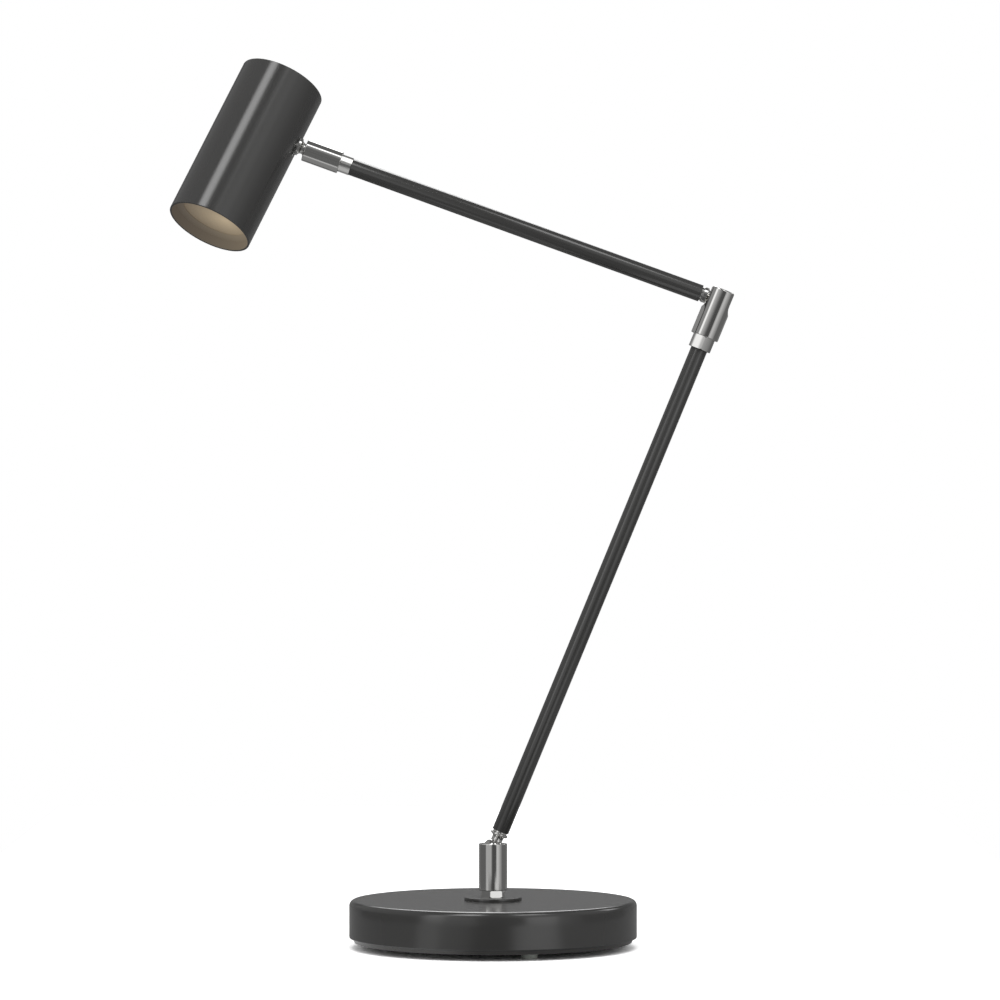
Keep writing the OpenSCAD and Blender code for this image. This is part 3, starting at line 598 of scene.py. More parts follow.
def mixed_colour(group, share, one, other):
    """Colour between one and other."""
    mix = add_node(group, "ShaderNodeMix", {SHARE: share, COLOUR_A: one, COLOUR_B: other},
                   data_type="RGBA")
    return mix.outputs[COLOUR_RESULT]


def ranged_noise_group(name, detail):
    """Group that lets a value wander between Low and High over the surface."""
    if name in bpy.data.node_groups:
        return bpy.data.node_groups[name]
    group, given = shader_group(name, {"Scale": 40.0, "Low": 0.0, "High": 1.0})
    ranged = add_node(group, "ShaderNodeMapRange", {
        "Value": object_noise(group, given["Scale"], detail),
        "From Min": 0.3, "From Max": 0.7, "To Min": given["Low"], "To Max": given["High"]})
    return close_group(group, ranged.outputs["Result"])


@once("node_groups", "Tint drift")
def tint_group(name):
    """Group that mixes two near colours in soft patches."""
    group, given = shader_group(
        name, {"Scale": 30.0, "One": GREY, "Other": GREY}, "NodeSocketColor")
    noise = object_noise(group, given["Scale"], 3.0)
    return close_group(group, mixed_colour(group, noise, given["One"], given["Other"]))


@once("node_groups", "Warm glow")
def painted_mouth_light_group(name):
    """Group of painted light and shade: fades one colour into another with the distance from a point."""
    group, given = shader_group(
        name, {"Centre": Vector(), "Reach": 0.06, "Near": GREY, "Far": GREY}, "NodeSocketColor")
    place = add_node(group, "ShaderNodeTexCoord").outputs["Object"]
    distance = add_node(
        group, "ShaderNodeVectorMath", {0: place, 1: given["Centre"]}, operation="DISTANCE")
    share = add_node(group, "ShaderNodeMapRange", {
        "Value": distance.outputs["Value"], "From Max": given["Reach"],
        "To Min": 1.0, "To Max": 0.0})
    power = add_node(
        group, "ShaderNodeMath", {0: share.outputs["Result"], 1: 2.0}, operation="POWER")
    colour = mixed_colour(group, power.outputs["Value"], given["Far"], given["Near"])
    return close_group(group, colour)


def fresh_material(name):
    """A new material and its shader."""
    material = bpy.data.materials.new(name)
    material.use_nodes = True
    return material, material.node_tree.nodes["Principled BSDF"]


def effect(shader, socket, group, values):
    """Feeds a socket of a shader from a group with its own values."""
    tree = shader.id_data
    node = add_node(tree, "ShaderNodeGroup", values, node_tree=group)
    tree.links.new(node.outputs["Result"], shader.inputs[socket])


def shade(colour, factor=1.0):
    """A colour made lighter or darker, with its alpha."""
    return tuple(channel * factor for channel in colour) + (1.0,)


def tint(shader, colour, spread, scale):
    """Base colour that drifts a little to either side of colour."""
    effect(shader, "Base Color", tint_group(), {
        "Scale": scale, "One": shade(colour, 1 - spread), "Other": shade(colour, 1 + spread)})


def roughen(shader, middle, spread, scale):
    """Roughness that drifts a little to either side of middle."""
    effect(shader, "Roughness", ranged_noise_group("Roughness drift", 3.0), {
        "Scale": scale, "Low": middle - spread, "High": middle + spread})


def ripple(shader, scale, depth):
    """Fine relief: the peel of paint, the grain of a casting or the frost of a lens."""
    bump = add_node(shader.id_data, "ShaderNodeBump", {"Distance": depth})
    effect(bump, "Height", ranged_noise_group("Fine relief", 2.0), {"Scale": scale})
    shader.id_data.links.new(bump.outputs["Normal"], shader.inputs["Normal"])


def paint_mouth_light(shader):
    """Painted light in the mouth as emission: strongest at the lens, fading into painted shade towards the rim."""
    colours = bpy.context.scene.lamp_finishes
    effect(shader, "Emission Color", painted_mouth_light_group(), {
        "Centre": colours.painted_light_centre, "Reach": colours.painted_light_reach,
        "Near": shade(colours.painted_light_near), "Far": shade(colours.painted_light_far)})
    shader.inputs["Emission Strength"].default_value = 1.0


# Finishes


@once("materials", "Satin black paint")
def satin_black(name):
    """Satin black paint with a faint peel."""
    material, shader = fresh_material(name)
    colours = bpy.context.scene.lamp_finishes
    tint(shader, colours.black, spread=0.06, scale=25)
    roughen(shader, colours.black_roughness, spread=0.02, scale=60)
    ripple(shader, scale=1500, depth=0.000002)
    shader.inputs["Specular IOR Level"].default_value = 1.0
    return material


@once("materials", "Polished chrome")
def polished_chrome(name):
    """Mirror-polished chrome plate with the faintest haze."""
    material, shader = fresh_material(name)
    colours = bpy.context.scene.lamp_finishes
    tint(shader, colours.chrome, spread=0.01, scale=60)
    roughen(shader, colours.chrome_roughness, spread=0.02, scale=150)
    shader.inputs["Metallic"].default_value = 1.0
    return material


@once("materials", "Frosted lens")
def frosted_lens(name):
    """Warm frosted plastic in front of the light source."""
    material, shader = fresh_material(name)
    tint(shader, bpy.context.scene.lamp_finishes.lens, spread=0.04, scale=80)
    roughen(shader, 0.55, spread=0.05, scale=200)
    ripple(shader, scale=2500, depth=0.00002)
    # Emission paints the lens's faint light, fading into painted shade towards its edge.
    paint_mouth_light(shader)
    shader.inputs["Subsurface Weight"].default_value = 0.15
    shader.inputs["Subsurface Radius"].default_value = (0.004, 0.003, 0.002)
    return material


@once("materials", "Warm interior")
def interior_with_painted_light(name):
    """Matt dark inside of the mouth with the lens's faint light painted on it as emission."""
    material, shader = fresh_material(name)
    tint(shader, bpy.context.scene.lamp_finishes.black, spread=0.06, scale=25)
    roughen(shader, 0.6, spread=0.05, scale=60)
    paint_mouth_light(shader)
    return material


@once("materials", "Clear pad")
def clear_pad(name):
    """Clear soft plastic of the foot pads."""
    material, shader = fresh_material(name)
    tint(shader, bpy.context.scene.lamp_finishes.pad, spread=0.03, scale=200)
    roughen(shader, 0.3, spread=0.05, scale=300)
    shader.inputs["Transmission Weight"].default_value = 0.25
    shader.inputs["IOR"].default_value = 1.49
    return material


def plain_finish(name, colour, roughness, grain, depth, metallic=0.0):
    """One of the simpler finishes of the pieces inside the lamp, with its relief."""
    if name in bpy.data.materials:
        return bpy.data.materials[name]
    material, shader = fresh_material(name)
    tint(shader, colour, spread=0.06, scale=60)
    roughen(shader, roughness, spread=0.05, scale=120)
    shader.inputs["Metallic"].default_value = metallic
    ripple(shader, grain, depth)
    return material


def black_rubber():
    """Matt black rubber of the grommet."""
    return plain_finish("Black rubber", (0.018, 0.018, 0.018), 0.7, grain=1500, depth=0.00003)


def black_plastic():
    """Matt black plastic."""
    return plain_finish("Black plastic", (0.022, 0.022, 0.022), 0.5, grain=1200, depth=0.00002)


def white_plastic():
    """White plastic of the terminal block and the board's mask."""
    return plain_finish("White plastic", (0.78, 0.78, 0.75), 0.45, grain=900, depth=0.00001)


def acetal():
    """Natural acetal of the friction seats."""
    return plain_finish("Acetal", (0.74, 0.73, 0.68), 0.4, grain=800, depth=0.00001)


def plated_steel():
    """Zinc-plated steel of the screws, springs and clips."""
    return plain_finish("Plated steel", (0.56, 0.57, 0.58), 0.32, grain=700, depth=0.00001,
                        metallic=1.0)


def cast_iron():
    """Rough cast iron of the ballast."""
    return plain_finish("Cast iron", (0.13, 0.13, 0.135), 0.75, grain=400, depth=0.0002,
                        metallic=0.6)


def brass():
    """Turned brass of the threaded tube and the nuts inside."""
    return plain_finish("Brass", (0.72, 0.55, 0.26), 0.3, grain=600, depth=0.00001,
                        metallic=1.0)


def bare_aluminium():
    """Bare aluminium of the heat sink."""
    return plain_finish("Bare aluminium", (0.66, 0.67, 0.68), 0.45, grain=500, depth=0.00003,
                        metallic=1.0)


def phosphor():
    """Yellow phosphor of the light source."""
    return plain_finish("Phosphor", (0.82, 0.62, 0.16), 0.5, grain=2000, depth=0.00001)


def reflector_coat():
    """Satin white coat of the reflector."""
    return plain_finish("Reflector coat", (0.76, 0.74, 0.68), 0.3, grain=900, depth=0.00001)


FINISH_OF = {
    "chrome": polished_chrome, "black_paint": satin_black, "plain_steel": plated_steel,
    "cast_iron": cast_iron, "brass": brass, "acetal": acetal, "clear_pad": clear_pad,
    "black_rubber": black_rubber, "white_plastic": white_plastic,
    "black_plastic": black_plastic, "bare_aluminium": bare_aluminium, "phosphor": phosphor,
    "reflector_coat": reflector_coat, "frosted_lens": frosted_lens,
}


# Pieces of the base


class LampOperator(bpy.types.Operator):
    """Common ground of the lamp's operators."""

    bl_options = {"REGISTER", "UNDO"}

    def execute(self, context):
        self.build(context.scene)
        return {"FINISHED"}


class LAMP_OT_base_cap(LampOperator):
    """Adds the round cap of the base, with its rounded edge and the hole of the lead inlet"""

    bl_idname = "lamp.base_cap"
    bl_label = "Base cap"

    def build(self, scene):
        sizes = scene.lamp_base
        low, high = span("base_cap", ON_TABLE)
        inside = high.x - sizes.cap_wall
        # The wall gets a ring of edges above the inlet, so that the cut leaves its rounded edge alone
        side = low.z + 2 * sizes.inlet_height
        outline = [
            (inside, low.z), (high.x, low.z, sizes.cap_rim), (high.x, side),
            (high.x, high.z, sizes.cap_corner), (sizes.centre_hole, high.z),
            (sizes.centre_hole, high.z - sizes.cap_wall),
            (inside, high.z - sizes.cap_wall, sizes.cap_corner - sizes.cap_wall / 2),
        ]
        cap = turned("base_cap_shell", outline, ON_TABLE, sides=2 * SIDES)
        inlet = Matrix.Translation((0, high.x, low.z + sizes.inlet_height))
        hole, reach = sizes.inlet_hole, 0.01
        drill = turned(
            "drill", [(0, -reach), (hole, -reach), (hole, reach), (0, reach)],
            inlet @ Matrix.Rotation(math.pi / 2, 4, "X"), closed=False, sides=DRILL_SIDES)
        cut = cap.modifiers.new("Inlet", "BOOLEAN")
        cut.object = drill
        cut.solver = "EXACT"
        apply_modifiers(cap)
        cap.data.set_sharp_from_angle(angle=SHARP)
        bpy.data.objects.remove(drill)
        dress(cap, "base", satin_black, "base_cap")


class LAMP_OT_foot_pads(LampOperator):
    """Adds the clear foot pads in a ring under the bottom plate"""

    bl_idname = "lamp.foot_pads"
    bl_label = "Foot pads"

    def build(self, scene):
        sizes = scene.lamp_base
        low, high = span("foot_right", ON_TABLE)
        radius = (high.x - low.x) / 2
        pad = turned("foot_pads", [
            (0, 0), (sizes.foot_low, 0, SOFT_EDGE), (radius, high.z, FINE_EDGE), (0, high.z)],
            ON_TABLE, closed=False, sides=PAD_SIDES)
        centre = (low + high) / 2
        nodes_modifier(pad, ring_of_copies_tree(), {
            "Count": sizes.foot_count,
            "Radius": math.hypot(centre.x, centre.y),
            "Turn": sizes.foot_turn - math.pi / 2,
            "Material": clear_pad(),
        })
        dress(pad, "base", clear_pad, "foot_right", "foot_left", "foot_rear")


class LAMP_OT_lead_inlet(LampOperator):
    """Adds the rubber grommet of the lead inlet at the rear"""

    bl_idname = "lamp.lead_inlet"
    bl_label = "Lead inlet"

    def build(self, scene):
        sizes = scene.lamp_base
        cap_low, cap_high = span("base_cap", ON_TABLE)
        height = Matrix.Translation((0, 0, cap_low.z + sizes.inlet_height))
        place = height @ Matrix.Rotation(-math.pi / 2, 4, "X")
        low, high = span("lead_inlet", place)
        bore, flange, groove = sizes.inlet_bore, high.x, high.x - sizes.inlet_groove
        slack, flange_width, lip = 0.00005, 0.0005, 0.001
        wall_in, wall_out = cap_high.y - sizes.cap_wall - slack, cap_high.y + slack
        outline = [
            (bore, low.z, EDGE), (flange, low.z, 2 * EDGE), (flange, wall_in, FINE_EDGE),
            (groove, wall_in), (groove, wall_out), (flange, wall_out, FINE_EDGE / 2),
            (flange, wall_out + flange_width, SOFT_EDGE), (bore + lip, high.z, EDGE),
            (bore, high.z, FINE_EDGE),
        ]
        dress(turned("lead_inlet_grommet", outline, place, sides=INLET_SIDES), "base", black_rubber,
              "lead_inlet")


class LAMP_OT_trim_washer(LampOperator):
    """Adds the black trim washer and the chromed nut of the base joint"""

    bl_idname = "lamp.trim_washer"
    bl_label = "Trim washer and base nut"

    def build(self, scene):
        sizes, joints = scene.lamp_base, scene.lamp_joints
        low, high = span("trim_washer", ON_TABLE)
        outline = [
            (sizes.centre_hole, low.z), (high.x, low.z, FINE_EDGE),
            (high.x, high.z, sizes.washer_edge), (sizes.centre_hole, high.z),
        ]
        dress(turned("trim_washer_disc", outline, ON_TABLE), "base", satin_black,
              "trim_washer", slot="black_paint")
        low, high = span("base_nut", ON_TABLE)
        hexagon_top = span("base_socket", ON_TABLE)[0].z
        piece = nut(
            "base_nut_hexagon", joints.nut_flat, low.z, hexagon_top, joints.base_nut_turn,
            (joints.cavity - PLUG_GAP, high.z), (joints.base_nut_tail, low.z),
            joints.base_nut_bore, ON_TABLE, draft=joints.nut_draft)
        dress(piece, "base", polished_chrome, "base_nut")


# Sockets, balls and studs


def cupped_socket(name, place, low, high, edge, cavity, lip, mouth):
    """Turned socket whose cavity closes over the ball up to a lip below its upper end."""
    rim = high.z - lip
    outline = [
        (cavity, low.z, FINE_EDGE), (high.x, low.z, edge), (high.x, high.z, edge),
        (math.sqrt(cavity ** 2 - rim ** 2) + mouth, high.z, FINE_EDGE),
        *arc(cavity, math.acos(rim / cavity), math.pi / 2, CAVITY_STEPS),
    ]
    return turned(name, outline, place)


class LAMP_OT_base_socket(LampOperator):
    """Adds the turned socket of the base joint, with its flared rim"""

    bl_idname = "lamp.base_socket"
    bl_label = "Base socket"

    def build(self, scene):
        joints = scene.lamp_joints
        low, high = span("base_socket", BASE_BALL)
        socket = cupped_socket("base_socket_shell", BASE_BALL, low, high, joints.socket_corner,
                               joints.cavity, lip=0.0009, mouth=0.0007)
        dress(socket, "base", polished_chrome, "base_socket")


class LAMP_OT_head_socket(LampOperator):
    """Adds the turned socket and the nut at the head's end of the upper arm"""

    bl_idname = "lamp.head_socket"
    bl_label = "Head socket and nut"

    def build(self, scene):
        joints = scene.lamp_joints
        low, high = span("head_socket", HEAD_SOCKET)
        cavity = joints.head_cavity
        socket = cupped_socket("head_socket_shell", HEAD_SOCKET, low, high,
                               joints.socket_corner, cavity, lip=0.00115, mouth=0.0011)
        dress(socket, "upper_arm", polished_chrome, "head_socket")
        nut_low, nut_high = span("head_nut", HEAD_SOCKET)
        tube_end = span("upper_tube", HEAD_SOCKET)[1].z
        piece = nut(
            "head_nut_hexagon", joints.head_nut_flat, tube_end, low.z, joints.head_nut_turn,
            (cavity - PLUG_GAP, nut_high.z), (joints.head_nut_tail, nut_low.z),
            joints.head_nut_bore, HEAD_SOCKET, crown=joints.arm_nut_crown)
        dress(piece, "upper_arm", polished_chrome, "head_nut")


def softened(corner, start, end):
    """Points of a curve from start to end that rounds off corner, with start left out."""
    points = []
    for step in range(1, BLEND_STEPS):
        t = step / BLEND_STEPS
        points.append(tuple(
            (1 - t) ** 2 * a + 2 * t * (1 - t) * c + t ** 2 * b
            for a, c, b in zip(start, corner, end)))
    points.append(tuple(end))
    return points


def round_arc(radius, start):
    """Points of an arc from start to as far from the other end of the half circle."""
    angles = [start + (math.pi - 2 * start) * step / COLUMNS for step in range(COLUMNS + 1)]
    return [(radius * math.cos(angle), radius * math.sin(angle)) for angle in angles]


def half_socket_loop(sign, height, radius, bore, half_slot):
    """Cross-section of one half of the slotted socket: outer arc, slot wall, bore arc, wall."""
    outer_start = math.asin(min(1.0, half_slot / radius))
    outer_reach = radius * math.cos(outer_start)
    inner_reach = 0.0
    bore_arc = [(0.0, half_slot)] * (COLUMNS + 1)
    if bore > half_slot:
        inner_start = math.asin(half_slot / bore)
        inner_reach = bore * math.cos(inner_start)
        bore_arc = round_arc(bore, inner_start)[::-1]
    blend = min(SLOT_EDGE, half_slot / 4, (outer_reach - inner_reach) / 3)
    outer = round_arc(radius, outer_start + blend / radius)
    left = softened((-outer_reach, half_slot), outer[-1], (-outer_reach + blend, half_slot))
    right = softened((outer_reach, half_slot), (outer_reach - blend, half_slot), outer[0])
    return [Vector((x, sign * y, height)) for x, y in outer + left + bore_arc + right]


def socket_heights(joints, bottom, top, slot_low, slot_centre):
    """Heights of the elbow socket's sections, closer together at its edges and at the slot."""
    corner, crown, quarter = joints.socket_corner, joints.elbow_corner, math.pi / 2
    straight = top - crown
    return [
        bottom,
        *(bottom + corner * (1 - math.cos(quarter * k / LOWER_STEPS))
          for k in range(1, LOWER_STEPS + 1)),
        bottom + corner + HOLD,
        slot_low,
        *(slot_centre - joints.slot_width / 2 * math.cos(quarter * k / SLOT_STEPS)
          for k in range(1, SLOT_STEPS + 1)),
        *(slot_centre + (straight - slot_centre) * k / CHEEK_STEPS
          for k in range(1, CHEEK_STEPS)),
        straight - HOLD,
        straight,
        *(straight + crown * math.sin(quarter * k / UPPER_STEPS)
          for k in range(1, UPPER_STEPS + 1)),
    ]


def quarter_round(radius, corner, past):
    """Radius at a point that lies past the start of a rounded edge."""
    if past <= 0:
        return radius
    return radius - corner + math.sqrt(max(0, corner ** 2 - past ** 2))


def half_socket(bm, loops, heights, slot_low):
    """Faces of one half of the elbow socket, with no wall where the slot hasn't started."""
    inner_from = COLUMNS + 1 + BLEND_STEPS
    for low_loop, high_loop, height in zip(loops, loops[1:], heights[1:]):
        for index, low_here in enumerate(low_loop):
            wall = COLUMNS <= index < inner_from or index >= inner_from + COLUMNS
            if wall and height <= slot_low:
                continue
            step = (index + 1) % len(low_loop)
            bm.faces.new((low_here, low_loop[step], high_loop[step], high_loop[index]))
    for loop in (loops[0], loops[-1]):
        outer = loop[:COLUMNS + 1]
        inner = loop[inner_from:inner_from + COLUMNS + 1][::-1]
        for k in range(COLUMNS):
            bm.faces.new((outer[k], outer[k + 1], inner[k + 1], inner[k]))


class LAMP_OT_elbow_socket(LampOperator):
    """Adds the slotted socket of the elbow, whose two cheeks hold the ball"""

    bl_idname = "lamp.elbow_socket"
    bl_label = "Elbow socket"

    def build(self, scene):
        joints = scene.lamp_joints
        low, high = span("elbow_socket", ELBOW_SOCKET)
        slot_centre = joints.slot_width / 2 - joints.slot_depth
        slot_low = slot_centre - joints.slot_width / 2
        heights = socket_heights(joints, low.z, high.z, slot_low, slot_centre)
        lower_edge, upper_edge = low.z + joints.socket_corner, high.z - joints.elbow_corner

        def outer_radius(z):
            if z < lower_edge:
                return quarter_round(high.y, joints.socket_corner, lower_edge - z)
            return quarter_round(high.y, joints.elbow_corner, z - upper_edge)

        def bore_radius(z):
            return joints.cavity if z < 0 else math.sqrt(max(0, joints.cavity ** 2 - z ** 2))

        def half_slot(z):
            if z <= slot_low:
                return 0.0
            return quarter_round(joints.slot_width / 2, joints.slot_width / 2, slot_centre - z)

        bm = bmesh.new()
        for sign in (1, -1):
            loops = []
            for z in heights:
                loop = half_socket_loop(sign, z, outer_radius(z), bore_radius(z), half_slot(z))
                loops.append([bm.verts.new(point) for point in loop])
            half_socket(bm, loops, heights, slot_low)
        dress(finished("elbow_socket_shell", bm, ELBOW_SOCKET), "lower_arm",
              polished_chrome, "elbow_socket")


class LAMP_OT_elbow_nut(LampOperator):
    """Adds the nut under the elbow socket"""

    bl_idname = "lamp.elbow_nut"
    bl_label = "Elbow nut"

    def build(self, scene):
        joints = scene.lamp_joints
        low, high = span("elbow_nut", ELBOW_SOCKET)
        hexagon_top = span("elbow_socket", ELBOW_SOCKET)[0].z
        piece = nut(
            "elbow_nut_hexagon", joints.nut_flat, low.z, hexagon_top, joints.elbow_nut_turn,
            (joints.cavity - PLUG_GAP, high.z), (joints.elbow_nut_tail, low.z),
            joints.elbow_nut_bore, ELBOW_SOCKET, crown=joints.arm_nut_crown)
        dress(piece, "lower_arm", polished_chrome, "elbow_nut")


class LAMP_OT_balls(LampOperator):
    """Adds the three chromed balls"""

    bl_idname = "lamp.balls"
    bl_label = "Balls"

    def build(self, scene):
        joints = scene.lamp_joints
        for node, place, radius in (
            ("base_ball", LOWER_ARM, joints.ball),
            ("elbow_ball", UPPER_ARM, joints.ball),
            ("head_ball", HEAD_STUD, joints.head_ball),
        ):
            low, high = span(node, place)
            start = math.acos(min(1.0, high.z / radius))
            end = math.acos(max(-1.0, low.z / radius))
            outline = [(0, high.z), *arc(radius, start, end, BALL_STEPS), (0, low.z)]
            ball = turned(node + "_chromed", outline, place, closed=False)
            dress(ball, node, polished_chrome, node)


def waisted_neck(radius, waist, low, high):
    """Outline of a neck that is drawn in a little halfway."""
    points = []
    for step in range(NECK_STEPS + 1):
        t = step / NECK_STEPS
        points.append((radius - waist * math.sin(math.pi * t), low + (high - low) * t))
    return points


class LAMP_OT_studs(LampOperator):
    """Adds the studs of both arms and the trumpet stud of the head"""

    bl_idname = "lamp.studs"
    bl_label = "Studs"

    def build(self, scene):
        self.arm_stud(scene, "lower", LOWER_ARM, collar_from=0.00875, collar=0.0015,
                      flange=0.00055)
        self.arm_stud(scene, "upper", UPPER_ARM, collar_from=0.00755, collar=0.00305,
                      flange=0.0)
        self.head_stud(scene)

    def arm_stud(self, scene, arm, place, collar_from, collar, flange):
        """Adds an arm's stud: a waisted neck, a collar and a spigot in the tube"""
        joints = scene.lamp_joints
        high = span(arm + "_stud", place)[1]
        groove_end = span(arm + "_tube", place)[0].z
        collar_end = collar_from + collar
        neck_low = math.sqrt(joints.ball ** 2 - joints.neck ** 2) + joints.ball_gap
        bore, groove, spigot = 0.0015, 0.0042, 0.00405
        outline = [
            (bore, neck_low),
            *waisted_neck(joints.neck, joints.waist, neck_low, collar_from - flange),
            (high.x - SOFT_EDGE, collar_from, FINE_EDGE),
            (high.x, collar_from + SOFT_EDGE, EDGE),
            (high.x, collar_end - FINE_EDGE, EDGE),
            (high.x - SOFT_EDGE, collar_end, FINE_EDGE),
            (groove, collar_end, FINE_EDGE), (groove, groove_end, FINE_EDGE),
            (spigot, groove_end), (spigot, high.z), (bore, high.z),
        ]
        stud = turned(arm + "_stud_turned", outline, place)
        dress(stud, arm + "_arm", polished_chrome, arm + "_stud")

    def head_stud(self, scene):
        """Adds the head's stud, whose neck widens onto the head"""
        joints, head = scene.lamp_joints, scene.lamp_head
        high = span("head_stud", HEAD_STUD)[1]
        neck_low = math.sqrt(joints.head_ball ** 2 - joints.head_neck ** 2) + joints.ball_gap
        bore, stem, rim, seat, rim_height = 0.0012, 0.003, 0.0053, 0.0007, 0.0008
        rim_low, rim_high = head.standoff - rim_height, head.standoff + seat
        flare = [
            (joints.head_neck + (rim - joints.head_neck) * (1 - math.cos(a)),
             neck_low + (rim_low - neck_low) * math.sin(a))
            for a in (math.pi / 2 * k / FLARE_STEPS for k in range(FLARE_STEPS - 1))
        ]
        outline = [
            (bore, neck_low), *flare, (rim, rim_low, FINE_EDGE / 2), (rim, rim_high),
            (stem, rim_high), (stem, high.z), (bore, high.z),
        ]
        dress(turned("head_stud_turned", outline, HEAD_STUD), "head", polished_chrome,
              "head_stud")


class LAMP_OT_tubes(LampOperator):
    """Adds the two drawn tubes of the arms"""

    bl_idname = "lamp.tubes"
    bl_label = "Arm tubes"

    def build(self, scene):
        for arm, place in (("lower", LOWER_ARM), ("upper", UPPER_ARM)):
            low, high = span(arm + "_tube", place)
            mesh = bpy.data.meshes.new(arm + "_arm_tube")
            ends = [place @ Vector((0, 0, end)) for end in (low.z, high.z)]
            mesh.from_pydata(ends, [(0, 1)], [])
            piece = new_object(mesh.name, mesh)
            nodes_modifier(piece, drawn_tube_tree(), {
                "Sides": SIDES, "Radius": high.x, "Bore": high.x - scene.lamp_joints.tube_wall,
                "Material": satin_black()})
            self.close_ends(piece.data, place.inverted(), (low.z + high.z) / 2)
            shade_mesh(piece.data)
            dress(piece, arm + "_arm", satin_black, arm + "_tube")

    def close_ends(self, mesh, inwards, middle):
        """Closes the two walls of a tube into one at each end and breaks the edges"""
        bm = bmesh.new()
        bm.from_mesh(mesh)
        rims = [edge for edge in bm.edges if edge.is_boundary]
        near = [edge for edge in rims if (inwards @ edge.verts[0].co).z < middle]
        far = [edge for edge in rims if edge not in near]
        for pair in (near, far):
            bmesh.ops.bridge_loops(bm, edges=pair)
        bmesh.ops.recalc_face_normals(bm, faces=bm.faces)
        ends = [
            edge for edge in bm.edges
            if len(edge.link_faces) == 2 and edge.calc_face_angle(0) > TUBE_END]
        bmesh.ops.bevel(
            bm, geom=ends, offset=FINE_EDGE, segments=2, affect="EDGES", profile=0.5)
        bm.to_mesh(mesh)
        bm.free()


# Head


class LAMP_OT_head_shell(LampOperator):
    """Adds the cylindrical shell of the head and its back cap"""

    bl_idname = "lamp.head_shell"
    bl_label = "Head shell and back cap"

    def build(self, scene):
        head = scene.lamp_head
        place = head_place()
        low, high = span("head_shell", place)
        inside = head.radius - head.wall
        outline = [
            (inside, low.z, head.edge), (head.radius, low.z, head.edge),
            (head.radius, high.z, head.edge), (inside, high.z, head.edge),
        ]
        shell = turned("head_shell_tube", outline, place, sides=2 * SIDES)
        dress(shell, "head", satin_black, "head_shell")
        # The inside of the shell takes the interior finish, with the lens's light painted on it.
        shell.data.materials.append(interior_with_painted_light())
        inwards = place.inverted()
        for face in shell.data.polygons:
            centre = inwards @ face.center
            if math.hypot(centre.x, centre.y) < inside + PLUG_GAP:
                face.material_index = 1
        cap_low, cap_high = span("back_cap", place)
        rim, wall, disc_top = inside - PLUG_GAP, 0.0012, cap_low.z + 0.002
        outline = [
            (0, cap_low.z), (rim, cap_low.z, SOFT_EDGE), (rim, cap_high.z, EDGE),
            (rim - wall, cap_high.z, EDGE), (rim - wall, disc_top, 0.0005), (0, disc_top),
        ]
        dress(turned("back_cap_disc", outline, place, closed=False, sides=2 * SIDES), "head",
              satin_black, "back_cap")


class LAMP_OT_lens(LampOperator):
    """Adds the frosted lens and the dark ring in front of it"""

    bl_idname = "lamp.lens"
    bl_label = "Lens and front ring"

    def build(self, scene):
        crown, place = scene.lamp_head.lens_crown, head_place()
        low, high = span("lens", place)
        outline = [(0, low.z), (high.x, low.z, EDGE), (high.x, high.z - crown, EDGE)]
        border = 0.001
        for step in range(1, LENS_STEPS + 1):
            share = 1 - step / LENS_STEPS
            outline.append(((high.x - border) * share, high.z - crown * share ** 2))
        lens = turned("frosted_lens_disc", outline, place, closed=False)
        dress(lens, "head", frosted_lens, "lens")
        low, high = span("front_ring", place)
        inner, thickness, rim = high.x - 0.0042, 0.0006, 0.0008
        outline = [
            (inner, low.z), (high.x, low.z), (high.x, high.z, EDGE),
            (high.x - rim, high.z, EDGE), (inner, low.z + thickness, FINE_EDGE),
        ]
        # The front ring takes the interior finish, with the lens's light painted on it.
        dress(turned("front_ring_black", outline, place), "head", interior_with_painted_light, "front_ring")


class LAMP_OT_inner_finishes(LampOperator):
    """Gives each piece that the frame brings along its own finish"""

    bl_idname = "lamp.inner_finishes"
    bl_label = "Inner finishes"

    def build(self, scene):
        for name, node in frame["nodes"].items():
            for slot in node.material_slots:
                slot.material = FINISH_OF[SLOT_OF[name]]()


# Studio


@once("node_groups", "Studio panel")
def studio_panel_group(name):
    """Group that lays a soft-edged panel of light over the tone behind it."""
    group, given = shader_group(name, {
        "Direction": Vector(), "Behind": 0.1, "Centre": 0.0, "Half width": 0.2, "Low": 0.0,
        "High": 0.5, "Edge": 0.03, "Left": 1.0, "Right": 1.0})
    half, edge = given["Half width"], given["Edge"]

    def result(operation, *terms):
        inputs = dict(enumerate(terms))
        return add_node(group, "ShaderNodeMath", inputs, operation=operation).outputs["Value"]

    def step_up(value, start, end):
        inputs = {"Value": value, "From Min": start, "From Max": end}
        node = add_node(group, "ShaderNodeMapRange", inputs, interpolation_type="SMOOTHSTEP")
        return node.outputs["Result"]

    def step_at(height, at):
        return step_up(height, result("SUBTRACT", at, edge), result("ADD", at, edge))

    axes = add_node(group, "ShaderNodeSeparateXYZ", {"Vector": given["Direction"]}).outputs
    around = result("ARCTAN2", axes["X"], result("MULTIPLY", axes["Y"], -1.0))
    off = result("SUBTRACT", around, given["Centre"])
    wide = result("COSINE", result("ADD", half, edge))
    narrow = result("COSINE", result("SUBTRACT", half, edge))
    across = step_up(result("COSINE", off), wide, narrow)
    height = result("ARCSINE", axes["Z"])
    upwards = result("SUBTRACT", step_at(height, given["Low"]), step_at(height, given["High"]))
    tone = add_node(group, "ShaderNodeMapRange", {
        "Value": off, "From Min": result("MULTIPLY", half, -1.0), "From Max": half,
        "To Min": given["Left"], "To Max": given["Right"]})
    blend = add_node(group, "ShaderNodeMix", {
        SHARE: result("MULTIPLY", across, upwards), TONE_A: given["Behind"],
        TONE_B: tone.outputs["Result"]})
    return close_group(group, blend.outputs[0])


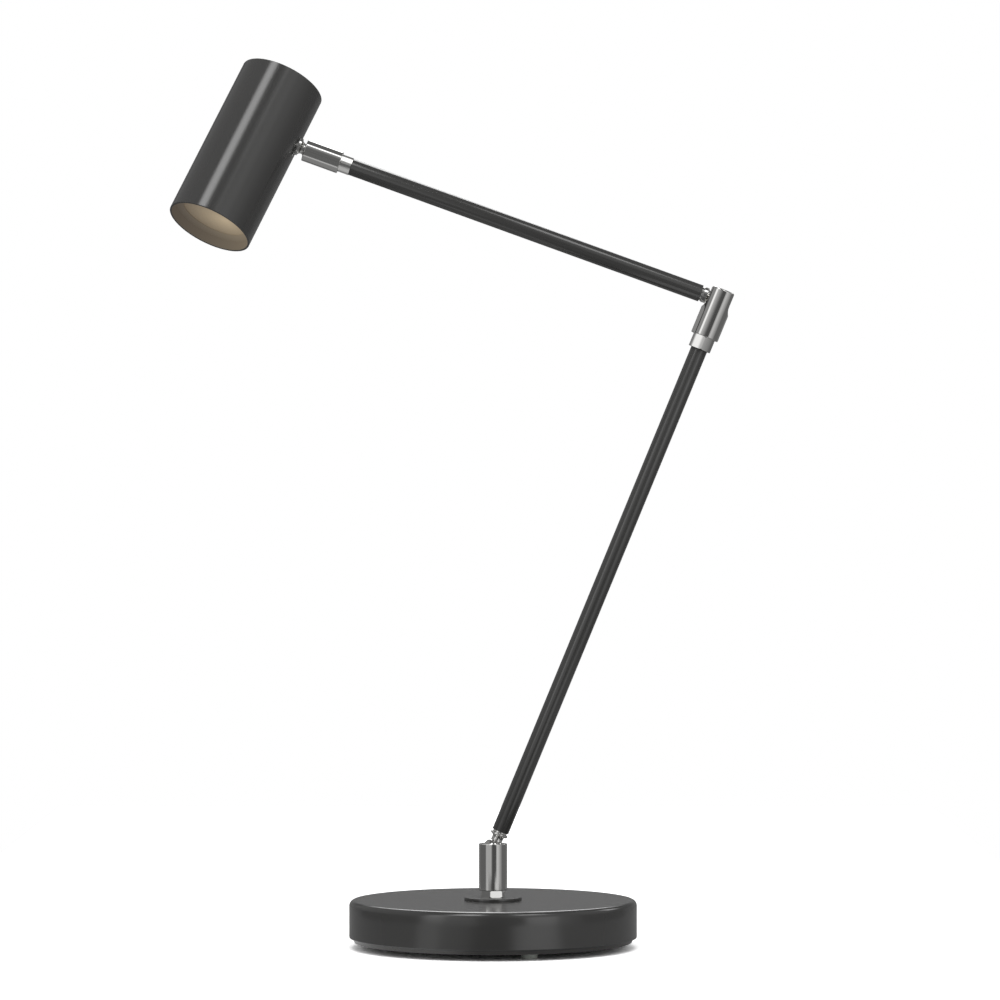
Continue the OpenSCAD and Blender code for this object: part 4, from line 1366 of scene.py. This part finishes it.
def panels(tree, facing, tone, rows):
    """Lays one panel after the other over a plain tone. Each row says from where to where the
    panel goes in degrees right of the camera, then in degrees above level, its tone at the left
    and at the right, and how soft its edge is in degrees."""
    for name, (around, heights, tones, edge) in rows.items():
        values = {
            "Direction": facing, "Behind": tone,
            "Centre": math.radians((around[0] + around[1]) / 2),
            "Half width": math.radians((around[1] - around[0]) / 2),
            "Low": math.radians(heights[0]), "High": math.radians(heights[1]),
            "Edge": math.radians(edge), "Left": tones[0], "Right": tones[1],
        }
        node = add_node(
            tree, "ShaderNodeGroup", values, node_tree=studio_panel_group(), label=name)
        tone = node.outputs["Result"]
    return tone


def reflected_room(tree):
    """Tones of the room that the chrome and the paint show."""
    facing = tree.nodes.new("ShaderNodeTexCoord").outputs["Generated"]
    return panels(tree, facing, 0.13, {
        "Right end of the room": ((74, 130), (-90, 60), (0.14, 0.14), 8),
        "Left wall": ((-152, -56), (0, 60), (0.28, 0.28), 3),
        "Foot of the left wall": ((-152, -56), (-60, 3), (0.13, 0.13), 3),
        "Right wall": ((14, 112), (6, 52), (0.36, 0.30), 8),
        "Table on the left": ((-60, -12), (-14, 0), (0.44, 0.44), 3),
        "Table on the right": ((16, 48), (-14, 0), (0.44, 0.44), 3),
        "Window": ((-41, -3), (3, 40), (0.62, 0.15), 4),
        "Ledge of the window": ((-60, -15), (1, 5), (0.60, 0.60), 2),
        "Low screen": ((34, 76), (-30, 14), (0.64, 0.20), 3),
        "Light on the low screen": ((26, 52), (-2, 7), (0.95, 0.95), 3),
        "High screen": ((28, 50), (12, 34), (0.50, 0.50), 6),
        "Dark gap under the camera": ((-3, 26), (-12, 2), (0.08, 0.08), 2),
        "Bright side of the window": ((-55, -40), (0, 34), (1.10, 1.10), 3),
        "Upper left softbox": ((-40, -14), (40, 68), (3.2, 3.2), 8),
        "Upper right softbox": ((24, 54), (41, 64), (2.2, 2.2), 3),
        "Floor all round": ((-180, 180), (-90, -36), (0.60, 0.60), 6),
        "Small softbox on the right": ((115, 132), (24, 38), (2.0, 2.0), 3),
        "Softbox behind the lamp": ((166, 194), (25, 66), (3.8, 3.8), 4),
        "Rear wall": ((130, 230), (-20, 12), (0.21, 0.21), 3),
    })


def reflected_floor(tree, facing):
    """Tones of the floor round the base, as the side of the base shows them."""
    return panels(tree, facing, 0.25, {
        "Left edge": ((-60, -42), (-9, 9), (0.50, 0.50), 5),
        "Left of the front": ((-42, -6), (-9, 9), (0.34, 0.10), 5),
        "Dark front": ((-14, 12), (-9, 9), (0.07, 0.07), 7),
        "Right": ((20, 50), (-9, 9), (0.62, 0.62), 8),
    })


def studio_world(scene):
    """White background, plain light from all round and the room that reflections show."""
    studio = scene.lamp_studio
    world = bpy.data.worlds.new("Studio")
    scene.world = world
    world.use_nodes = True
    tree = world.node_tree
    tree.nodes.clear()
    path = add_node(tree, "ShaderNodeLightPath").outputs
    mirrored = add_node(
        tree, "ShaderNodeMath", {0: path["Is Glossy Ray"], 1: path["Is Transmission Ray"]},
        operation="MAXIMUM")
    reflection = add_node(tree, "ShaderNodeMix", {
        SHARE: mirrored.outputs[0], TONE_A: studio.room_level, TONE_B: reflected_room(tree)})
    seen = add_node(tree, "ShaderNodeMix", {
        SHARE: path["Is Camera Ray"], TONE_A: reflection.outputs[0], TONE_B: 1.0})
    background = add_node(tree, "ShaderNodeBackground", {"Color": seen.outputs[0]})
    add_node(tree, "ShaderNodeOutputWorld", {"Surface": background.outputs["Background"]})


@once("materials", "Studio floor")
def floor_material(name):
    """Pale floor, lit to white where the camera sees it, that ends early in reflections and there has a pool of
    painted light beside the base's rim.
    """
    studio = bpy.context.scene.lamp_studio
    material = fresh_material(name)[0]
    tree = material.node_tree
    tree.nodes.clear()

    def added(kind, inputs=(), output=0, **settings):
        return add_node(tree, kind, inputs, **settings).outputs[output]

    def surface(colour):
        colour = shade((colour,) * 3) if isinstance(colour, float) else colour
        return added("ShaderNodeBsdfDiffuse", {"Color": colour})

    def blend(factor, one, other):
        return added("ShaderNodeMixShader", {0: factor, 1: one, 2: other})

    def fade(start, end):
        return added("ShaderNodeMapRange", {"Value": reach, "From Min": start, "From Max": end},
                     interpolation_type="SMOOTHSTEP")

    place = added("ShaderNodeTexCoord", output="Object")
    reach = added("ShaderNodeVectorMath", {0: place}, "Value", operation="LENGTH")
    rim_middle = (0, -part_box("base_cap")[1][0] / 2, 0)
    focus = added("ShaderNodeVectorMath", {0: place, 1: rim_middle}, operation="SUBTRACT")
    facing = added("ShaderNodeVectorMath", {0: focus}, operation="NORMALIZE")
    path = add_node(tree, "ShaderNodeLightPath").outputs
    seen = added(
        "ShaderNodeMath", {0: path["Is Camera Ray"], 1: path["Is Transmission Ray"]},
        operation="MAXIMUM")
    # Painted light: in reflections the floor beside the base's rim is lighter, so the rim shows a painted
    # highlight.
    painted_rim_light = panels(tree, facing, 0.3, {
        "Painted rim light": ((-140, -30), (-9, 9), (studio.painted_rim_light, studio.painted_rim_light), 20)})
    beside_rim = fade(studio.painted_rim_light_end, studio.painted_rim_light_end * PAINTED_RIM_LIGHT_FADE)
    round_base = blend(beside_rim, surface(painted_rim_light), surface(reflected_floor(tree, facing)))
    mirrored = blend(
        fade(studio.fade_start, studio.fade_end), round_base, added("ShaderNodeBsdfTransparent"))
    lit = blend(path["Is Glossy Ray"], surface(studio.floor_tone), mirrored)
    add_node(tree, "ShaderNodeOutputMaterial", {
        "Surface": blend(seen, lit, surface(studio.floor_white))})
    return material


def area_light(name, power, size, position, target):
    """Soft panel at position that faces target and leaves no highlight."""
    data = bpy.data.lights.new(name, "AREA")
    data.shape = "RECTANGLE"
    data.size, data.size_y = size
    data.energy = power
    light = new_object(name, data)
    light.location = position
    light.visible_glossy = False
    light.rotation_euler = (Vector(target) - Vector(position)).to_track_quat("-Z", "Y").to_euler()


class LAMP_OT_studio(LampOperator):
    """Adds the floor, the lights and the camera of the studio"""

    bl_idname = "lamp.studio"
    bl_label = "Studio"

    def build(self, scene):
        studio = scene.lamp_studio
        scene.view_settings.view_transform = "Standard"
        studio_world(scene)
        side, front, back = studio.floor_half_width, studio.floor_front, studio.floor_back
        mesh = bpy.data.meshes.new("studio_floor")
        corners = [(-side, -front), (side, -front), (side, back), (-side, back)]
        mesh.from_pydata([(x, y, FLOOR_LEVEL) for x, y in corners], [], [(0, 1, 2, 3)])
        mesh.materials.append(floor_material())
        new_object("studio_floor", mesh)
        area_light("strip_panel", studio.strip_power, STRIP_SIZE, STRIP_PLACE, STRIP_TARGET)
        data = bpy.data.cameras.new("studio_camera")
        data.lens = studio.focal_length
        data.sensor_width = SENSOR
        data.clip_end = CAMERA_REACH
        camera = new_object("studio_camera", data)
        camera.location = studio.camera_place
        camera.rotation_euler = (math.pi / 2 - studio.camera_pitch, 0, 0)
        scene.camera = camera


class LAMP_PT_panel(bpy.types.Panel):
    """Lists the pieces of the lamp"""

    bl_idname = "LAMP_PT_panel"
    bl_label = "Table lamp"
    bl_space_type = "VIEW_3D"
    bl_region_type = "UI"
    bl_category = "Lamp"

    def draw(self, context):
        for operator in OPERATORS:
            self.layout.operator(operator.bl_idname)


OPERATORS = (
    LAMP_OT_studio, LAMP_OT_inner_finishes, LAMP_OT_base_cap, LAMP_OT_foot_pads,
    LAMP_OT_lead_inlet, LAMP_OT_trim_washer, LAMP_OT_base_socket, LAMP_OT_balls,
    LAMP_OT_studs, LAMP_OT_tubes, LAMP_OT_elbow_nut, LAMP_OT_elbow_socket,
    LAMP_OT_head_socket, LAMP_OT_head_shell, LAMP_OT_lens,
)
GROUPS = {
    "lamp_base": LampBaseSizes,
    "lamp_joints": LampJointSizes,
    "lamp_head": LampHeadSizes,
    "lamp_finishes": LampFinishes,
    "lamp_studio": LampStudioSettings,
}


def register():
    """Registers the settings, the operators and the panel."""
    for name, group in GROUPS.items():
        bpy.utils.register_class(group)
        setattr(bpy.types.Scene, name, PointerProperty(type=group))
    for operator in OPERATORS:
        bpy.utils.register_class(operator)
    bpy.utils.register_class(LAMP_PT_panel)


def unregister():
    """Takes the panel, the operators and the settings out again."""
    bpy.utils.unregister_class(LAMP_PT_panel)
    for operator in reversed(OPERATORS):
        bpy.utils.unregister_class(operator)
    for name, group in GROUPS.items():
        delattr(bpy.types.Scene, name)
        bpy.utils.unregister_class(group)


def main():
    """Builds the lamp and its studio."""
    register()
    for operator in OPERATORS:
        category, name = operator.bl_idname.split(".")
        getattr(getattr(bpy.ops, category), name)()


if __name__ == "__main__":
    main()
